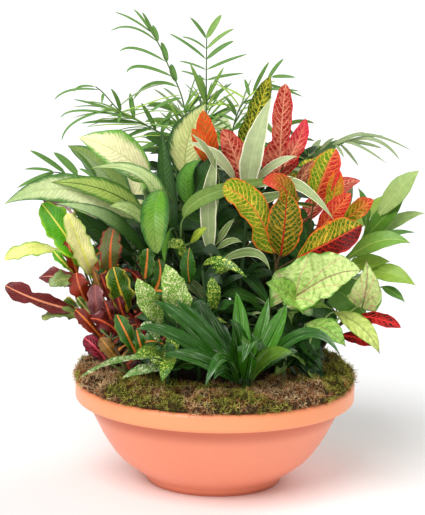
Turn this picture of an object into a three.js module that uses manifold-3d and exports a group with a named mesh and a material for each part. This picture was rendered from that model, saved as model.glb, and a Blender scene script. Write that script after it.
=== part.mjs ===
import * as THREE from 'three';
import { mergeVertices } from 'three/addons/utils/BufferGeometryUtils.js';
import Module from 'manifold-3d';

// A dish garden: a round bowl of soil and moss, planted close with mixed foliage.
// Millimetres, Z up. The bowl's axis is Z and its foot stands on Z = 0. The front faces -Y.

const wasm = await Module();
wasm.setup();

// Driving sizes of the bowl, the soil and the moss.
const RIM_RADIUS = 178;
const BOWL_HEIGHT = 130;
const FOOT_RADIUS = 86;
const BASE_THICKNESS = 6;
const RIM_BAND_FOOT = 107;
const RIM_INNER_RADIUS = 164;
const SOIL_EDGE_Z = 124;
const SOIL_CROWN_Z = 143;
const SOIL_CROWN_RADIUS = 96;
const MOSS_TOP_Z = 149;
const BOWL_SIDES = 24;
const MOSS_STEPS = 28;

// Driving sizes of the planting.
const ROOT_Z = 98;
const STEM_UPRIGHT_TO_Z = 160;
const SEAT_GAP = 0.3;
const HOLE_ROOM = 0.5;
const BLADE_THICKNESS = 0.8;
const LEAF_ROOM = 0.45;
const NARROW_LEAF = 20;
const SHORT_STALK = 0.25;
const LONG_LEAFLET = 66;
const STEM_SIDES = 4;
const FROND_SIDES = 3;
const STEM_TAPER = 0.85;
const CURVE_FOOT_Z = 154;
const REACH_OUT = 2.2;
const FROND_RADIUS = 1.9;
const STALK_SLOPE = 0.6;
const STALK_AWAY = 0.4;
const SPINE_SHARES = [0, 0.15, 0.3, 0.45, 0.6, 0.75, 0.9];
const MERGE_WITHIN = 1e-3;
const FINEST_DETAIL = 0.03;

// Leaves are set out as they look from the front: x and z on the plane through the bowl's axis,
// then the depth y to which the point slides along its line of sight.
const EYE = new THREE.Vector3(-6, -2500, 764);
const FACE_FRONT = new THREE.Vector3(0, -0.8, 0.6);

function sighted(x, z, depth) {
  const reach = (depth - EYE.y) / -EYE.y;
  return new THREE.Vector3(x, 0, z).sub(EYE).multiplyScalar(reach).add(EYE);
}

// Outline of a leaf, as half its width against its length: it swells to 1 at the peak.
function swell(t, peak, fullness) {
  const rise = (t / peak) ** (fullness * peak);
  return rise * ((1 - t) / (1 - peak)) ** (fullness * (1 - peak));
}

// Each kind of leaf: where the blade's sections stand along its rib, its outline, how far its
// halves lift, the waves of its edge, how far its sides sweep back at the base, and half the
// width of its flat stalk.
const KINDS = {
  dumbCane: { at: [0.16, 0.43, 0.75], half: (t) => swell(t, 0.4, 1.9), lift: 0.16, stalk: 2.4 },
  ribbon: { at: [0.25, 0.62], half: (t) => swell(t, 0.4, 1.7), lift: 0.25, stalk: 1.8 },
  broadCroton: {
    at: [0.16, 0.45, 0.78], half: (t) => swell(t, 0.5, 1.5), lift: 0.2, wave: 0.12, stalk: 1.8,
  },
  fingerCroton: {
    at: [0.12, 0.26, 0.42, 0.68, 0.9],
    half: (t) => Math.max(t < 0.5 ? swell(t * 2, 0.42, 2.2) : 0, 0.54 * swell(t, 0.68, 1.3)),
    lift: 0.14, wave: 0.06, stalk: 1.8,
  },
  curlyCroton: { at: [0.28, 0.7], half: (t) => swell(t, 0.52, 1.2), lift: 0.12, wave: 0.38, stalk: 1.6 },
  speckled: { at: [0.25, 0.65], half: (t) => swell(t, 0.45, 1.7), lift: 0.12, wave: 0.12, stalk: 1.6 },
  strap: { at: [0.3, 0.68], half: (t) => swell(t, 0.45, 1.2), lift: 0.3, stalk: 2.4 },
  arrow: { at: [0.07, 0.3, 0.64], half: (t) => swell(t, 0.16, 1.8), lift: 0.12, sweep: 0.34, stalk: 1.8 },
  lily: { at: [0.22, 0.6], half: (t) => swell(t, 0.44, 1.8), lift: 0.18, stalk: 1.8 },
  leaflet: { at: [0.4], half: () => 1, stalk: 0 },
  longLeaflet: { at: [0.3, 0.7], half: () => 0.9, stalk: 0 },
};

// Leaf rows: base x, z, depth, crest x, z, depth, tip x, z, depth, width, turn about the rib
// in degrees, and further twist at the tip. Stem paths: x, z, depth of each point above the soil.
const PLANTS = {
  dumb_cane_stem_1: {
    kind: 'dumbCane', radius: 5, root: [-62, 18], path: [[-76, 290, -8], [-92, 372, -12]],
    leaves: [
      [-85, 386, -12, -130, 421, -24, -176, 437, -22, 60, 10],
      [-105, 338, -26, -190, 376, -46, -269, 351, -56, 34, -8],
      [-98, 350, -14, -152, 377, -20, -205, 372, -24, 24, 38],
      [-66, 318, -30, -92, 390, -44, -156, 397, -50, 20, 30],
      [-85, 326, -34, -112, 347, -44, -137, 350, -50, 24, 12],
      [-88, 285, -34, -136, 334, -60, -205, 353, -70, 28, 20],
    ],
  },
  dumb_cane_stem_2: {
    kind: 'dumbCane', radius: 4.5, root: [-38, 34], path: [[-44, 300, 14], [-48, 388, 8]],
    leaves: [
      [-72, 372, -50, -80, 338, -68, -76, 291, -72, 34, 0],
      [-60, 322, -40, -66, 302, -50, -66, 279, -52, 13, 40],
      [-55, 300, -5, -66, 380, -9, -72, 450, -2, 24, 10],
      [-36, 352, -6, -40, 390, -13, -22, 412, -15, 24, -14],
      [-42, 392, 12, -38, 440, 16, -18, 482, 20, 50, 6],
    ],
  },
  green_ribbon_stem: {
    kind: 'ribbon', radius: 3, root: [-24, -16], path: [[-40, 262, -28], [-48, 322, -38]],
    leaves: [
      [-50, 335, -44, -20, 372, -50, 87, 391, -52, 20, 6, 60],
      [-34, 306, -40, -24, 318, -48, -14, 326, -50, 12, 10],
    ],
  },
  white_edged_stem_1: {
    kind: 'ribbon', radius: 3.5, root: [22, 2], path: [[32, 280, -8], [38, 374, -14]],
    leaves: [
      [36, 371, -15, 44, 430, -22, 64, 492, -25, 28, 0],
      [20, 388, -18, -6, 417, -26, -40, 434, -30, 20, 20],
      [45, 378, -20, 96, 383, -36, 146, 338, -52, 15, 10],
      [45, 385, -12, 72, 409, -15, 98, 418, -17, 11, 10],
      [42, 360, -16, 62, 365, -25, 90, 374, -29, 14, 15],
    ],
  },
  white_edged_stem_2: {
    kind: 'ribbon', radius: 3, root: [2, -14], path: [[-4, 240, -24], [-8, 300, -30]],
    leaves: [
      [-9, 298, -31, -12, 362, -38, -2, 425, -36, 23, 0],
      [0, 392, -22, -14, 421, -32, -34, 444, -36, 13, 20],
      [0, 299, -32, 16, 309, -38, 31, 308, -42, 9, 10],
      [0, 306, -30, 10, 324, -34, 21, 338, -36, 9, 0],
      [5, 283, -36, 45, 295, -48, 67, 272, -54, 11, 30],
    ],
  },
  broad_croton_stem_1: {
    kind: 'broadCroton', radius: 3.5, root: [68, 26], path: [[58, 300, 10], [66, 380, 4]],
    leaves: [
      [76, 388, 4, 77, 450, 2, 81, 509, 0, 46, 0, 0, 'fingerCroton'],
      [80, 403, 0, 97, 434, -4, 107, 466, -6, 22, 12],
      [30, 380, 0, 19, 420, -5, 3, 451, -7, 30, -8],
      [95, 372, -8, 107, 396, -10, 119, 413, -12, 15, 10],
    ],
  },
  broad_croton_stem_2: {
    kind: 'broadCroton', radius: 3, root: [4, 30], path: [[-2, 300, 14], [-4, 384, 8]],
    leaves: [
      [-4, 403, 4, -16, 440, 1, -21, 474, 0, 25, 0],
      [-11, 405, -4, -22, 430, -9, -34, 451, -11, 20, -10],
    ],
  },
  broad_croton_stem_3: {
    kind: 'broadCroton', radius: 3.5, root: [58, -12], path: [[70, 240, -24], [76, 284, -30]],
    leaves: [
      [72, 294, -33, 44, 352, -46, 5, 378, -52, 46, -6, 0, 'fingerCroton'],
      [80, 290, -30, 84, 331, -41, 86, 373, -43, 44, 0],
      [100, 288, -42, 145, 312, -57, 181, 333, -60, 48, 0],
      [96, 350, -30, 80, 379, -40, 55, 385, -54, 28, -20],
    ],
  },
  broad_croton_stem_4: {
    kind: 'broadCroton', radius: 3, root: [46, 60], path: [[38, 300, 44], [36, 384, 36]],
    leaves: [
      [36, 424, 35, 47, 472, 39, 62, 518, 36, 27, 0],
      [33, 398, 30, 35, 438, 30, 41, 472, 28, 26, 0],
    ],
  },
  broad_croton_stem_5: {
    kind: 'broadCroton', radius: 3, root: [92, 14], path: [[106, 250, 0], [118, 322, -12]],
    leaves: [
      [120, 358, -14, 133, 398, -24, 146, 429, -26, 36, 6],
      [137, 340, -20, 146, 374, -28, 148, 405, -30, 23, -16],
      [122, 318, -26, 146, 348, -38, 166, 373, -42, 27, 0],
      [150, 328, -22, 174, 350, -32, 195, 365, -36, 25, 0],
    ],
  },
  broad_croton_stem_6: {
    kind: 'broadCroton', radius: 2.5, root: [122, -22], path: [[140, 180, -34], [160, 208, -46]],
    leaves: [
      [178, 214, -58, 206, 212, -70, 235, 201, -78, 19, 0],
      [158, 190, -40, 182, 186, -52, 204, 178, -60, 17, 10],
    ],
  },
  curly_croton_stem_1: {
    kind: 'curlyCroton', radius: 2.6, root: [-124, -22], path: [[-150, 220, -42], [-166, 264, -48]],
    leaves: [
      [-166, 272, -48, -192, 313, -57, -222, 353, -61, 36, 0],
      [-158, 262, -52, -173, 301, -64, -190, 341, -68, 28, 0],
      [-176, 263, -50, -184, 286, -57, -189, 308, -59, 17, 0],
      [-178, 284, -46, -228, 295, -51, -269, 280, -53, 19, 10],
      [-180, 264, -54, -197, 281, -62, -207, 293, -64, 11, 0],
    ],
  },
  curly_croton_stem_2: {
    kind: 'curlyCroton', radius: 2.6, root: [-130, -46], path: [[-152, 180, -56], [-164, 208, -62]],
    leaves: [
      [-174, 212, -62, -228, 219, -78, -272, 240, -82, 24, 0, 50],
      [-172, 250, -58, -192, 257, -66, -212, 247, -70, 19, 0],
      [-170, 208, -64, -198, 213, -73, -221, 203, -79, 17, 10],
      [-162, 222, -62, -173, 244, -69, -178, 265, -71, 25, 0],
      [-158, 205, -66, -167, 220, -71, -177, 233, -73, 13, 0],
    ],
  },
  curly_croton_stem_3: {
    kind: 'curlyCroton', radius: 2.6, root: [-108, -74], path: [[-122, 158, -84], [-134, 180, -88]],
    leaves: [
      [-152, 200, -80, -153, 228, -87, -154, 250, -89, 20, 0],
      [-145, 180, -86, -163, 201, -94, -179, 217, -98, 18, 0],
      [-122, 186, -88, -141, 201, -95, -159, 206, -99, 21, 0],
      [-140, 152, -92, -153, 168, -99, -168, 181, -101, 23, 0],
      [-122, 150, -98, -136, 167, -105, -147, 181, -107, 19, 0],
      [-133, 203, -82, -137, 216, -85, -142, 230, -86, 17, 0],
    ],
  },
  curly_croton_stem_4: {
    kind: 'curlyCroton', radius: 2.6, root: [-96, -48], path: [[-116, 200, -56], [-128, 256, -54]],
    leaves: [
      [-134, 264, -56, -135, 296, -63, -130, 324, -65, 28, 0],
      [-128, 222, -60, -133, 246, -67, -135, 269, -68, 13, 0],
      [-112, 215, -62, -123, 245, -74, -131, 273, -78, 27, 0],
      [-142, 230, -58, -150, 251, -61, -158, 272, -61, 9, 20],
      [-116, 206, -68, -122, 223, -73, -126, 239, -75, 13, 0],
    ],
  },
  curly_croton_stem_5: {
    kind: 'curlyCroton', radius: 2.4, root: [-84, -66], path: [[-92, 160, -76], [-98, 176, -82]],
    leaves: [
      [-101, 160, -90, -114, 187, -99, -126, 211, -101, 19, 0],
      [-92, 160, -88, -97, 176, -93, -101, 192, -93, 15, 0],
    ],
  },
  curly_croton_stem_6: {
    kind: 'curlyCroton', radius: 2.4, root: [-76, -34], path: [[-84, 210, -42], [-88, 252, -45]],
    leaves: [
      [-91, 258, -50, -89, 279, -55, -88, 298, -55, 19, 0],
      [-80, 240, -46, -72, 262, -52, -74, 284, -54, 17, 0],
    ],
  },
  speckled_stem_1: {
    kind: 'speckled', radius: 2.6, root: [-50, -62], path: [[-52, 180, -68], [-48, 206, -72]],
    leaves: [
      [-42, 200, -76, -53, 241, -87, -65, 278, -89, 35, 0],
      [-68, 200, -76, -87, 231, -87, -101, 259, -91, 29, 0],
      [-38, 282, -60, -50, 303, -70, -64, 298, -76, 18, 0],
    ],
  },
  speckled_stem_2: {
    kind: 'speckled', radius: 2.6, root: [-20, -50], path: [[-14, 215, -58], [-18, 272, -60]],
    leaves: [
      [-2, 220, -74, -4, 243, -83, -7, 263, -85, 18, 0],
      [-18, 277, -62, 6, 283, -71, 38, 262, -77, 11, 20],
      [-34, 253, -60, -37, 277, -66, -35, 300, -66, 19, 0],
    ],
  },
  speckled_stem_3: {
    kind: 'speckled', radius: 2.4, root: [-58, -98], path: [[-60, 150, -106]],
    leaves: [
      [-78, 156, -106, -126, 152, -120, -173, 128, -130, 13, 30],
      [-66, 158, -108, -86, 165, -121, -105, 152, -127, 16, 0],
      [-66, 143, -112, -92, 141, -127, -118, 129, -134, 14, 0],
      [-52, 158, -108, -62, 147, -125, -67, 125, -131, 17, 0],
      [-72, 176, -98, -84, 196, -103, -97, 195, -106, 13, 0],
    ],
  },
  dracaena_rosette: {
    kind: 'strap', radius: 6, root: [38, -104], path: [[38, 142, -104]],
    leaves: [
      [25, 132, -105, -52, 182, -119, -103, 192, -129, 24, 14],
      [25, 136, -100, -38, 201, -106, -81, 230, -109, 22, 10],
      [28, 138, -96, -20, 197, -99, -52, 232, -97, 22, 0],
      [30, 138, -92, -4, 197, -89, -21, 231, -83, 22, 0],
      [33, 142, -88, 5, 197, -77, -12, 233, -70, 15, 0],
      [36, 140, -95, 31, 200, -95, 25, 244, -91, 22, 0],
      [32, 130, -108, 28, 180, -123, 18, 208, -133, 26, 0],
      [38, 140, -84, 35, 190, -75, 30, 236, -67, 19, 0],
      [42, 138, -92, 57, 192, -89, 66, 238, -83, 19, 0],
      [46, 138, -96, 73, 190, -99, 89, 230, -97, 25, 0],
      [28, 126, -112, 9, 157, -136, -13, 118, -151, 19, 0],
      [38, 128, -114, 44, 177, -142, 34, 151, -158, 28, 0],
      [48, 128, -110, 77, 170, -134, 98, 158, -150, 31, 0],
      [50, 138, -100, 80, 161, -113, 105, 168, -119, 19, 0],
      [50, 136, -98, 112, 191, -109, 159, 163, -121, 16, 14],
      [24, 128, -110, -20, 153, -129, -67, 161, -139, 25, 0],
      [44, 134, -104, 58, 165, -117, 44, 189, -121, 15, 0],
      [30, 124, -112, 12, 141, -129, -2, 128, -141, 15, 0],
    ],
  },
  arrowhead_stem_1: {
    kind: 'arrow', radius: 2.4, root: [86, -50], path: [[92, 190, -56], [100, 226, -58]],
    leaves: [
      [108, 244, -62, 148, 268, -84, 182, 273, -92, 68, 0],
      [100, 236, -60, 82, 250, -73, 63, 258, -80, 29, 0],
      [105, 225, -64, 128, 229, -75, 149, 222, -80, 15, 10],
    ],
  },
  arrowhead_stem_2: {
    kind: 'arrow', radius: 2.2, root: [116, -54], path: [[118, 170, -62], [122, 190, -66]],
    leaves: [
      [187, 238, -70, 190, 264, -80, 188, 288, -82, 42, 0],
      [150, 220, -70, 188, 198, -92, 209, 166, -100, 24, 20, 0, 'lily'],
      [115, 205, -72, 142, 196, -93, 166, 175, -101, 32, 0, 0, 'lily'],
    ],
  },
  lily_bunch_1: {
    kind: 'lily', radius: 4, root: [112, 34], path: [[124, 220, 20]],
    leaves: [
      [200, 343, -5, 229, 381, -13, 251, 403, -16, 28, 0],
      [182, 312, 0, 212, 346, -5, 233, 366, -7, 25, 0],
      [205, 325, 8, 235, 347, 3, 260, 350, -1, 16, 0],
      [186, 328, 6, 184, 358, 4, 175, 380, 2, 13, 0],
    ],
  },
  lily_bunch_2: {
    kind: 'lily', radius: 4, root: [126, 4], path: [[134, 190, -8]],
    leaves: [
      [165, 290, -20, 206, 313, -29, 244, 310, -33, 27, 0],
      [160, 284, -8, 190, 296, -11, 216, 292, -13, 16, 0],
      [196, 275, -22, 227, 278, -29, 251, 258, -33, 24, 0],
      [212, 255, -26, 229, 249, -31, 239, 234, -35, 12, 0],
      [150, 240, -42, 172, 236, -48, 190, 216, -54, 38, 0],
    ],
  },
};

// Palm fronds: the path of the rib in the same terms, then leaflets as base x, z, tip x, z, width
// and, where one bends, its crest x, z.
const FRONDS = {
  palm_frond_1: {
    root: [-30, 76], path: [[-38, 300, 80], [-45, 480, 84], [-66, 531, 84], [-77, 555, 83], [-90, 575, 82]],
    leaflets: [
      [-88, 572, -132, 594, 4], [-88, 572, -109, 598, 4], [-84, 566, -98, 594, 5],
      [-78, 555, -85, 579, 7], [-80, 560, -138, 570, 4, -110, 575], [-66, 531, -74, 558, 8],
      [-68, 536, -126, 545, 5, -104, 549], [-58, 508, -61, 531, 9], [-62, 514, -117, 519, 6, -98, 527],
      [-58, 497, -109, 484, 6, -85, 506], [-50, 490, -88, 470, 6], [-47, 470, -20, 492, 6],
      [-46, 455, -90, 452, 6], [-44, 440, -14, 462, 6],
    ],
  },
  palm_frond_2: {
    root: [-8, 88], path: [[-12, 300, 92], [-17, 480, 96], [-18, 563, 94]],
    leaflets: [
      [-18, 562, -39, 589, 6], [-18, 562, 0, 593, 8], [-18, 552, -49, 565, 4], [-18, 552, 16, 576, 5],
      [-18, 538, -65, 569, 5], [-18, 538, 16, 561, 6], [-18, 523, -52, 535, 4], [-18, 523, 33, 545, 4],
      [-18, 510, -50, 523, 4], [-18, 510, 29, 521, 4], [-17, 480, -38, 532, 7], [-17, 478, -26, 519, 8],
      [-17, 485, 4, 528, 5], [-16, 460, 24, 482, 6], [-16, 455, -50, 480, 6], [-15, 430, 20, 452, 6],
    ],
  },
  palm_frond_3: {
    root: [-58, 64],
    path: [
      [-55, 300, 66], [-60, 430, 68], [-95, 456, 62], [-122, 469, 58], [-147, 495, 54], [-155, 501, 53],
    ],
    leaflets: [
      [-121, 470, -136, 499, 6], [-108, 462, -112, 494, 7], [-145, 493, -147, 480, 4],
      [-133, 482, -138, 470, 4], [-122, 469, -127, 456, 5], [-108, 463, -183, 485, 5],
      [-104, 460, -199, 461, 4, -170, 471], [-98, 457, -174, 455, 6], [-153, 500, -182, 494, 4, -173, 501],
      [-152, 499, -207, 483, 4, -186, 496], [-128, 475, -197, 432, 4, -178, 458], [-85, 450, -120, 436, 7],
      [-80, 447, -98, 482, 7], [-72, 442, -60, 474, 7], [-66, 436, -104, 420, 7],
    ],
  },
  palm_frond_4: {
    root: [-88, 46],
    path: [[-108, 300, 44], [-126, 372, 36], [-150, 385, 30], [-176, 389, 24], [-206, 393, 18]],
    leaflets: [
      [-193, 392, -237, 420, 8], [-176, 389, -207, 418, 11], [-204, 393, -244, 396, 5],
      [-205, 392, -253, 372, 7], [-184, 390, -208, 378, 6], [-157, 386, -175, 398, 5],
      [-150, 385, -180, 421, 5], [-160, 386, -196, 366, 6], [-204, 393, -253, 364, 4, -224, 380],
    ],
  },
  palm_frond_5: {
    root: [62, 84], path: [[72, 300, 70], [88, 397, 58], [118, 421, 48], [142, 433, 42], [160, 438, 38]],
    leaflets: [
      [140, 432, 181, 450, 6], [148, 435, 240, 428, 4, 186, 447], [158, 438, 226, 416, 5, 196, 440],
      [158, 438, 204, 430, 5], [140, 432, 210, 411, 4, 166, 436], [150, 435, 175, 407, 4],
      [145, 433, 156, 418, 4], [111, 416, 127, 440, 8], [126, 425, 143, 442, 5], [100, 408, 96, 436, 7],
      [92, 400, 122, 396, 6], [155, 437, 205, 446, 4],
    ],
  },
  palm_frond_6: {
    root: [18, 74], path: [[12, 300, 78], [15, 440, 80], [27, 481, 80], [63, 517, 78]],
    leaflets: [
      [62, 515, 93, 517, 5], [28, 482, 61, 489, 6], [16, 452, 46, 459, 6], [52, 508, 103, 493, 4],
      [44, 500, 99, 500, 4], [36, 492, 30, 514, 5], [22, 470, 4, 492, 6], [18, 460, -4, 470, 5],
      [40, 496, 60, 536, 5], [57, 512, 78, 540, 5],
    ],
  },
};

// The back of the planting: leafy stems that lean away from the front, placed by rule.
// root and top are real places. The leaves share the stem from the given part of it to its top,
// and point within the spread of the stem's bearing, in degrees.
const BACK_STEMS = {
  back_dumb_cane_stem: {
    kind: 'dumbCane', radius: 4.5, root: [-72, 62], top: [-94, 114, 312],
    bearing: 118, spread: 56, count: 7, reach: [116, 150], width: 58, from: 0.3,
  },
  back_croton_stem_1: {
    kind: 'broadCroton', radius: 3.2, root: [72, 86], top: [90, 130, 332],
    bearing: 64, spread: 58, count: 7, reach: [96, 124], width: 44, from: 0.28,
  },
  back_croton_stem_2: {
    kind: 'curlyCroton', radius: 2.8, root: [-112, 34], top: [-146, 72, 300],
    bearing: 158, spread: 56, count: 7, reach: [84, 112], width: 32, from: 0.16,
  },
  back_speckled_stem: {
    kind: 'speckled', radius: 2.8, root: [-48, 104], top: [-50, 142, 240],
    bearing: 104, spread: 70, count: 7, reach: [80, 104], width: 40, from: 0.05,
  },
  back_lily_bunch: {
    kind: 'lily', radius: 4, root: [100, 62], top: [130, 92, 262],
    bearing: 26, spread: 56, count: 7, reach: [110, 146], width: 42, from: 0.15,
  },
  back_white_edged_stem: {
    kind: 'ribbon', radius: 3.4, root: [6, 108], top: [8, 148, 352],
    bearing: 88, spread: 66, count: 7, reach: [104, 140], width: 28, from: 0.34,
  },
  back_strap_rosette: {
    kind: 'strap', radius: 6, root: [40, 118], top: [42, 124, 176],
    bearing: 84, spread: 80, count: 9, reach: [92, 128], width: 28, from: 0.1,
  },
};

// A back leaf: the part of its reach at which its blade begins, how high its crest arches, how
// steeply it climbs from the bottom of the stem to its top, how far its face tips back, the most
// that it turns about its rib, and how far a shift swings it round its stem.
const BACK_LEAF = {
  base: 0.22, arch: 0.11, climb: [0.1, 0.85], vary: 0.12, tip: 0.35, turn: 14, swing: 0.014,
};

// The back fronds lean out; their leaflets stand in pairs on the upper part of the rib.
const BACK_FRONDS = {
  back_palm_frond_1: { root: [-22, 110], lean: [-46, 176], height: 452, bearing: 104, pairs: 8 },
  back_palm_frond_2: { root: [42, 96], lean: [74, 170], height: 434, bearing: 70, pairs: 7 },
};
const BACK_LEAFLET = { from: 0.5, to: 0.96, reach: [78, 48], width: 10, out: 22, rise: 14, arch: 15 };
const LEAFLET_TURN = 12;
const LEAFLET_LEAN = [-14, 12];
const BACK_BEGINS_Y = 100;

const COLOURS = {
  bowl: 0xe58a6a, soil: 0x3a2a1e, moss: 0x6f6236, dumb_cane: 0x8fb35a, green_ribbon: 0x4f8f3a,
  white_edged: 0xa9bf92, broad_croton: 0xc8502c, curly_croton: 0x6b3a30, speckled: 0x4f8a35,
  dracaena: 0x235f2c, arrowhead: 0x9cc47c, lily: 0x4a8f3c, palm: 0x5f8f3a, back: 0x4a7f38,
};

// Closed triangle geometry as a solid, turned outside out where its faces point in.
function solidOf(geometry) {
  geometry.deleteAttribute('normal');
  geometry.deleteAttribute('uv');
  const merged = mergeVertices(geometry, MERGE_WITHIN);
  const vertProperties = merged.attributes.position.array;
  const triVerts = new Uint32Array(merged.index.array);
  const made = new wasm.Manifold(new wasm.Mesh({ numProp: 3, vertProperties, triVerts }));
  if (made.volume() > 0) return made;
  const turned = triVerts.map((v, i) => triVerts[i - (i % 3) + [0, 2, 1][i % 3]]);
  return new wasm.Manifold(new wasm.Mesh({ numProp: 3, vertProperties, triVerts: turned }));
}

function geometryOf(solid) {
  const { vertProperties, triVerts, numProp } = solid.getMesh();
  const places = new Float32Array((vertProperties.length / numProp) * 3);
  for (let i = 0; i < places.length; i += 1) {
    places[i] = vertProperties[Math.floor(i / 3) * numProp + (i % 3)];
  }
  const geometry = new THREE.BufferGeometry();
  geometry.setAttribute('position', new THREE.BufferAttribute(places, 3));
  geometry.setIndex(new THREE.BufferAttribute(new Uint32Array(triVerts), 1));
  geometry.computeVertexNormals();
  return geometry;
}

// A tube along a curve, with flat ends.
function tube(curve, radius, sides, steps) {
  const section = new THREE.Shape();
  for (let i = 0; i < sides; i += 1) {
    const angle = (2 * Math.PI * i) / sides;
    const corner = [radius * Math.cos(angle), radius * Math.sin(angle)];
    if (i === 0) section.moveTo(...corner);
    else section.lineTo(...corner);
  }
  return solidOf(new THREE.ExtrudeGeometry(section, { steps, extrudePath: curve, bevelEnabled: false }));
}

function ringProfile(points) {
  return new THREE.LatheGeometry(points.map(([r, z]) => new THREE.Vector2(r, z)), BOWL_SIDES)
    .rotateX(Math.PI / 2);
}

// The bowl's outer wall from its foot to the band of the rim, and its inner wall.
const WALL_OUT = [[FOOT_RADIUS, 0], [89, 9], [99, 16], [121, 33], [137, 54], [149, 76], [157, 92]];
const WALL_IN = [[153, 93], [136, 60], [112, 32], [82, BASE_THICKNESS]];

function bowl() {
  const rim = [
    [160, RIM_BAND_FOOT], [175, RIM_BAND_FOOT], [RIM_RADIUS, 111], [RIM_RADIUS, 125],
    [174, BOWL_HEIGHT], [RIM_INNER_RADIUS + 2, BOWL_HEIGHT], [RIM_INNER_RADIUS, 124],
    [157, RIM_BAND_FOOT + 1],
  ];
  return solidOf(ringProfile([[0, 0], ...WALL_OUT, ...rim, ...WALL_IN, [0, BASE_THICKNESS]]));
}

// Soil fills the bowl to just under the rim and rises to a low crown among the stems.
function soil() {
  const inside = [...WALL_IN].reverse().map(([r, z]) => [r - 2 * SEAT_GAP, z + SEAT_GAP]);
  const top = [
    [157 - 2 * SEAT_GAP, RIM_BAND_FOOT + 1], [RIM_INNER_RADIUS - 1.4, SOIL_EDGE_Z],
    [SOIL_CROWN_RADIUS + 8, SOIL_EDGE_Z], [SOIL_CROWN_RADIUS, SOIL_CROWN_Z - 5], [0, SOIL_CROWN_Z],
  ];
  return solidOf(ringProfile([[0, BASE_THICKNESS + SEAT_GAP], ...inside, ...top]));
}

// Moss lies on the soil as a lumpy ring, rests on the rim and stands a little higher at the back.
function moss() {
  const section = [
    [SOIL_CROWN_RADIUS + 9, SOIL_EDGE_Z + SEAT_GAP], [RIM_INNER_RADIUS - 3, SOIL_EDGE_Z + SEAT_GAP],
    [RIM_INNER_RADIUS - 2, BOWL_HEIGHT + SEAT_GAP], [172, BOWL_HEIGHT + 2 * SEAT_GAP],
    [177, BOWL_HEIGHT + 5], [172, MOSS_TOP_Z - 5], [152, MOSS_TOP_Z + 1],
    [126, MOSS_TOP_Z], [SOIL_CROWN_RADIUS + 6, MOSS_TOP_Z - 7],
  ];
  const places = [];
  const faces = [];
  const around = section.length;
  for (let step = 0; step < MOSS_STEPS; step += 1) {
    const angle = (2 * Math.PI * step) / MOSS_STEPS;
    section.forEach(([r, z], k) => {
      const free = k > 3 ? 1 : 0;
      const lump = 3 * Math.sin(9 * angle + 1.7 * k) + 2.4 * Math.sin(17 * angle + 2.9 * k);
      const rise = 5 * Math.sin(angle) + 2.5 * Math.sin(4 * angle + 1);
      const radius = r + free * (k > 5 ? 0 : 0.7) * lump;
      places.push(radius * Math.cos(angle), radius * Math.sin(angle), z + free * (k > 4 ? lump + rise : 0));
      const next = (step + 1) % MOSS_STEPS;
      const [a, b] = [step * around + k, step * around + ((k + 1) % around)];
      const [c, d] = [next * around + k, next * around + ((k + 1) % around)];
      faces.push(a, c, d, a, d, b);
    });
  }
  const geometry = new THREE.BufferGeometry();
  geometry.setAttribute('position', new THREE.BufferAttribute(new Float32Array(places), 3));
  geometry.setIndex(faces);
  return solidOf(geometry);
}

// A rib from base to tip through its crest.
function ribThrough(base, crest, tip) {
  const middle = base.clone().add(tip).multiplyScalar(0.5);
  return new THREE.QuadraticBezierCurve3(base, crest.clone().multiplyScalar(2).sub(middle), tip);
}

// A leaf: a thin slab from a point on its stem, along its flat stalk and over its rib to its tip,
// with its halves lifted and waved. A narrow one has no raised rib.
function leafSolid(start, rib, kind, width, face, turn, twist, thickness) {
  const length = rib.getLength();
  const sheets = [[], []];
  const flat = width < NARROW_LEAF;
  const sides = flat ? [-1, 1] : [-1, 0, 1];
  const rows = kind.at.map((t) => [t, rib.getPoint(t), Math.max((width / 2) * kind.half(t), kind.stalk)]);
  if (kind.stalk && start.distanceTo(rib.v0) > SHORT_STALK * length) rows.unshift([0, rib.v0, kind.stalk]);
  const stations = [[0, start, 0], ...rows, [1, rib.v2, 0]];
  stations.forEach(([t, middle, half], i) => {
    const before = stations[Math.max(i - 1, 0)][1];
    const after = stations[Math.min(i + 1, stations.length - 1)][1];
    const along = after.clone().sub(before).normalize();
    const across = along.clone().cross(face).normalize();
    across.applyAxisAngle(along, THREE.MathUtils.degToRad(turn + twist * t));
    const up = across.clone().cross(along).normalize();
    (half ? sides : [0]).forEach((side) => {
      const wave = t ? (kind.wave ?? 0) * side * (i % 2 ? 1 : -1) : 0;
      const lift = half * (Math.abs(side) * (flat ? 0 : kind.lift) + wave);
      const swept = t ? Math.abs(side) * (kind.sweep ?? 0) * length * (1 - t) ** 3 : 0;
      const place = middle.clone().addScaledVector(across, side * half).addScaledVector(along, -swept);
      place.addScaledVector(up, lift);
      sheets[0].push(place.clone().addScaledVector(up, thickness / 2));
      sheets[1].push(place.clone().addScaledVector(up, -thickness / 2));
    });
  });
  const below = sheets[0].length;
  const end = below - 1;
  const wide = sides.length;
  const faces = [];
  const both = (a, b, c) => faces.push(a, b, c, a + below, c + below, b + below);
  const wall = (a, b) => faces.push(a, a + below, b + below, a, b + below, b);
  for (let k = 1; k < wide; k += 1) {
    both(0, k + 1, k);
    both(end - wide + k - 1, end - wide + k, end);
  }
  for (let first = 1; first + wide < end; first += wide) {
    for (let k = first; k < first + wide - 1; k += 1) {
      const leansLeft = k === first && !flat;
      if (leansLeft) both(k, k + 1, k + 1 + wide);
      if (leansLeft) both(k, k + 1 + wide, k + wide);
      if (!leansLeft) both(k, k + 1, k + wide);
      if (!leansLeft) both(k + 1, k + 1 + wide, k + wide);
    }
    wall(first + wide, first);
    wall(first + wide - 1, first + 2 * wide - 1);
  }
  wall(1, 0);
  wall(0, wide);
  wall(end, end - wide);
  wall(end - 1, end);
  const geometry = new THREE.BufferGeometry().setFromPoints([...sheets[0], ...sheets[1]]);
  geometry.setIndex(faces);
  return solidOf(geometry);
}

// Everything that already stands in its place, by the node that it belongs to.
const standing = [];

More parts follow.
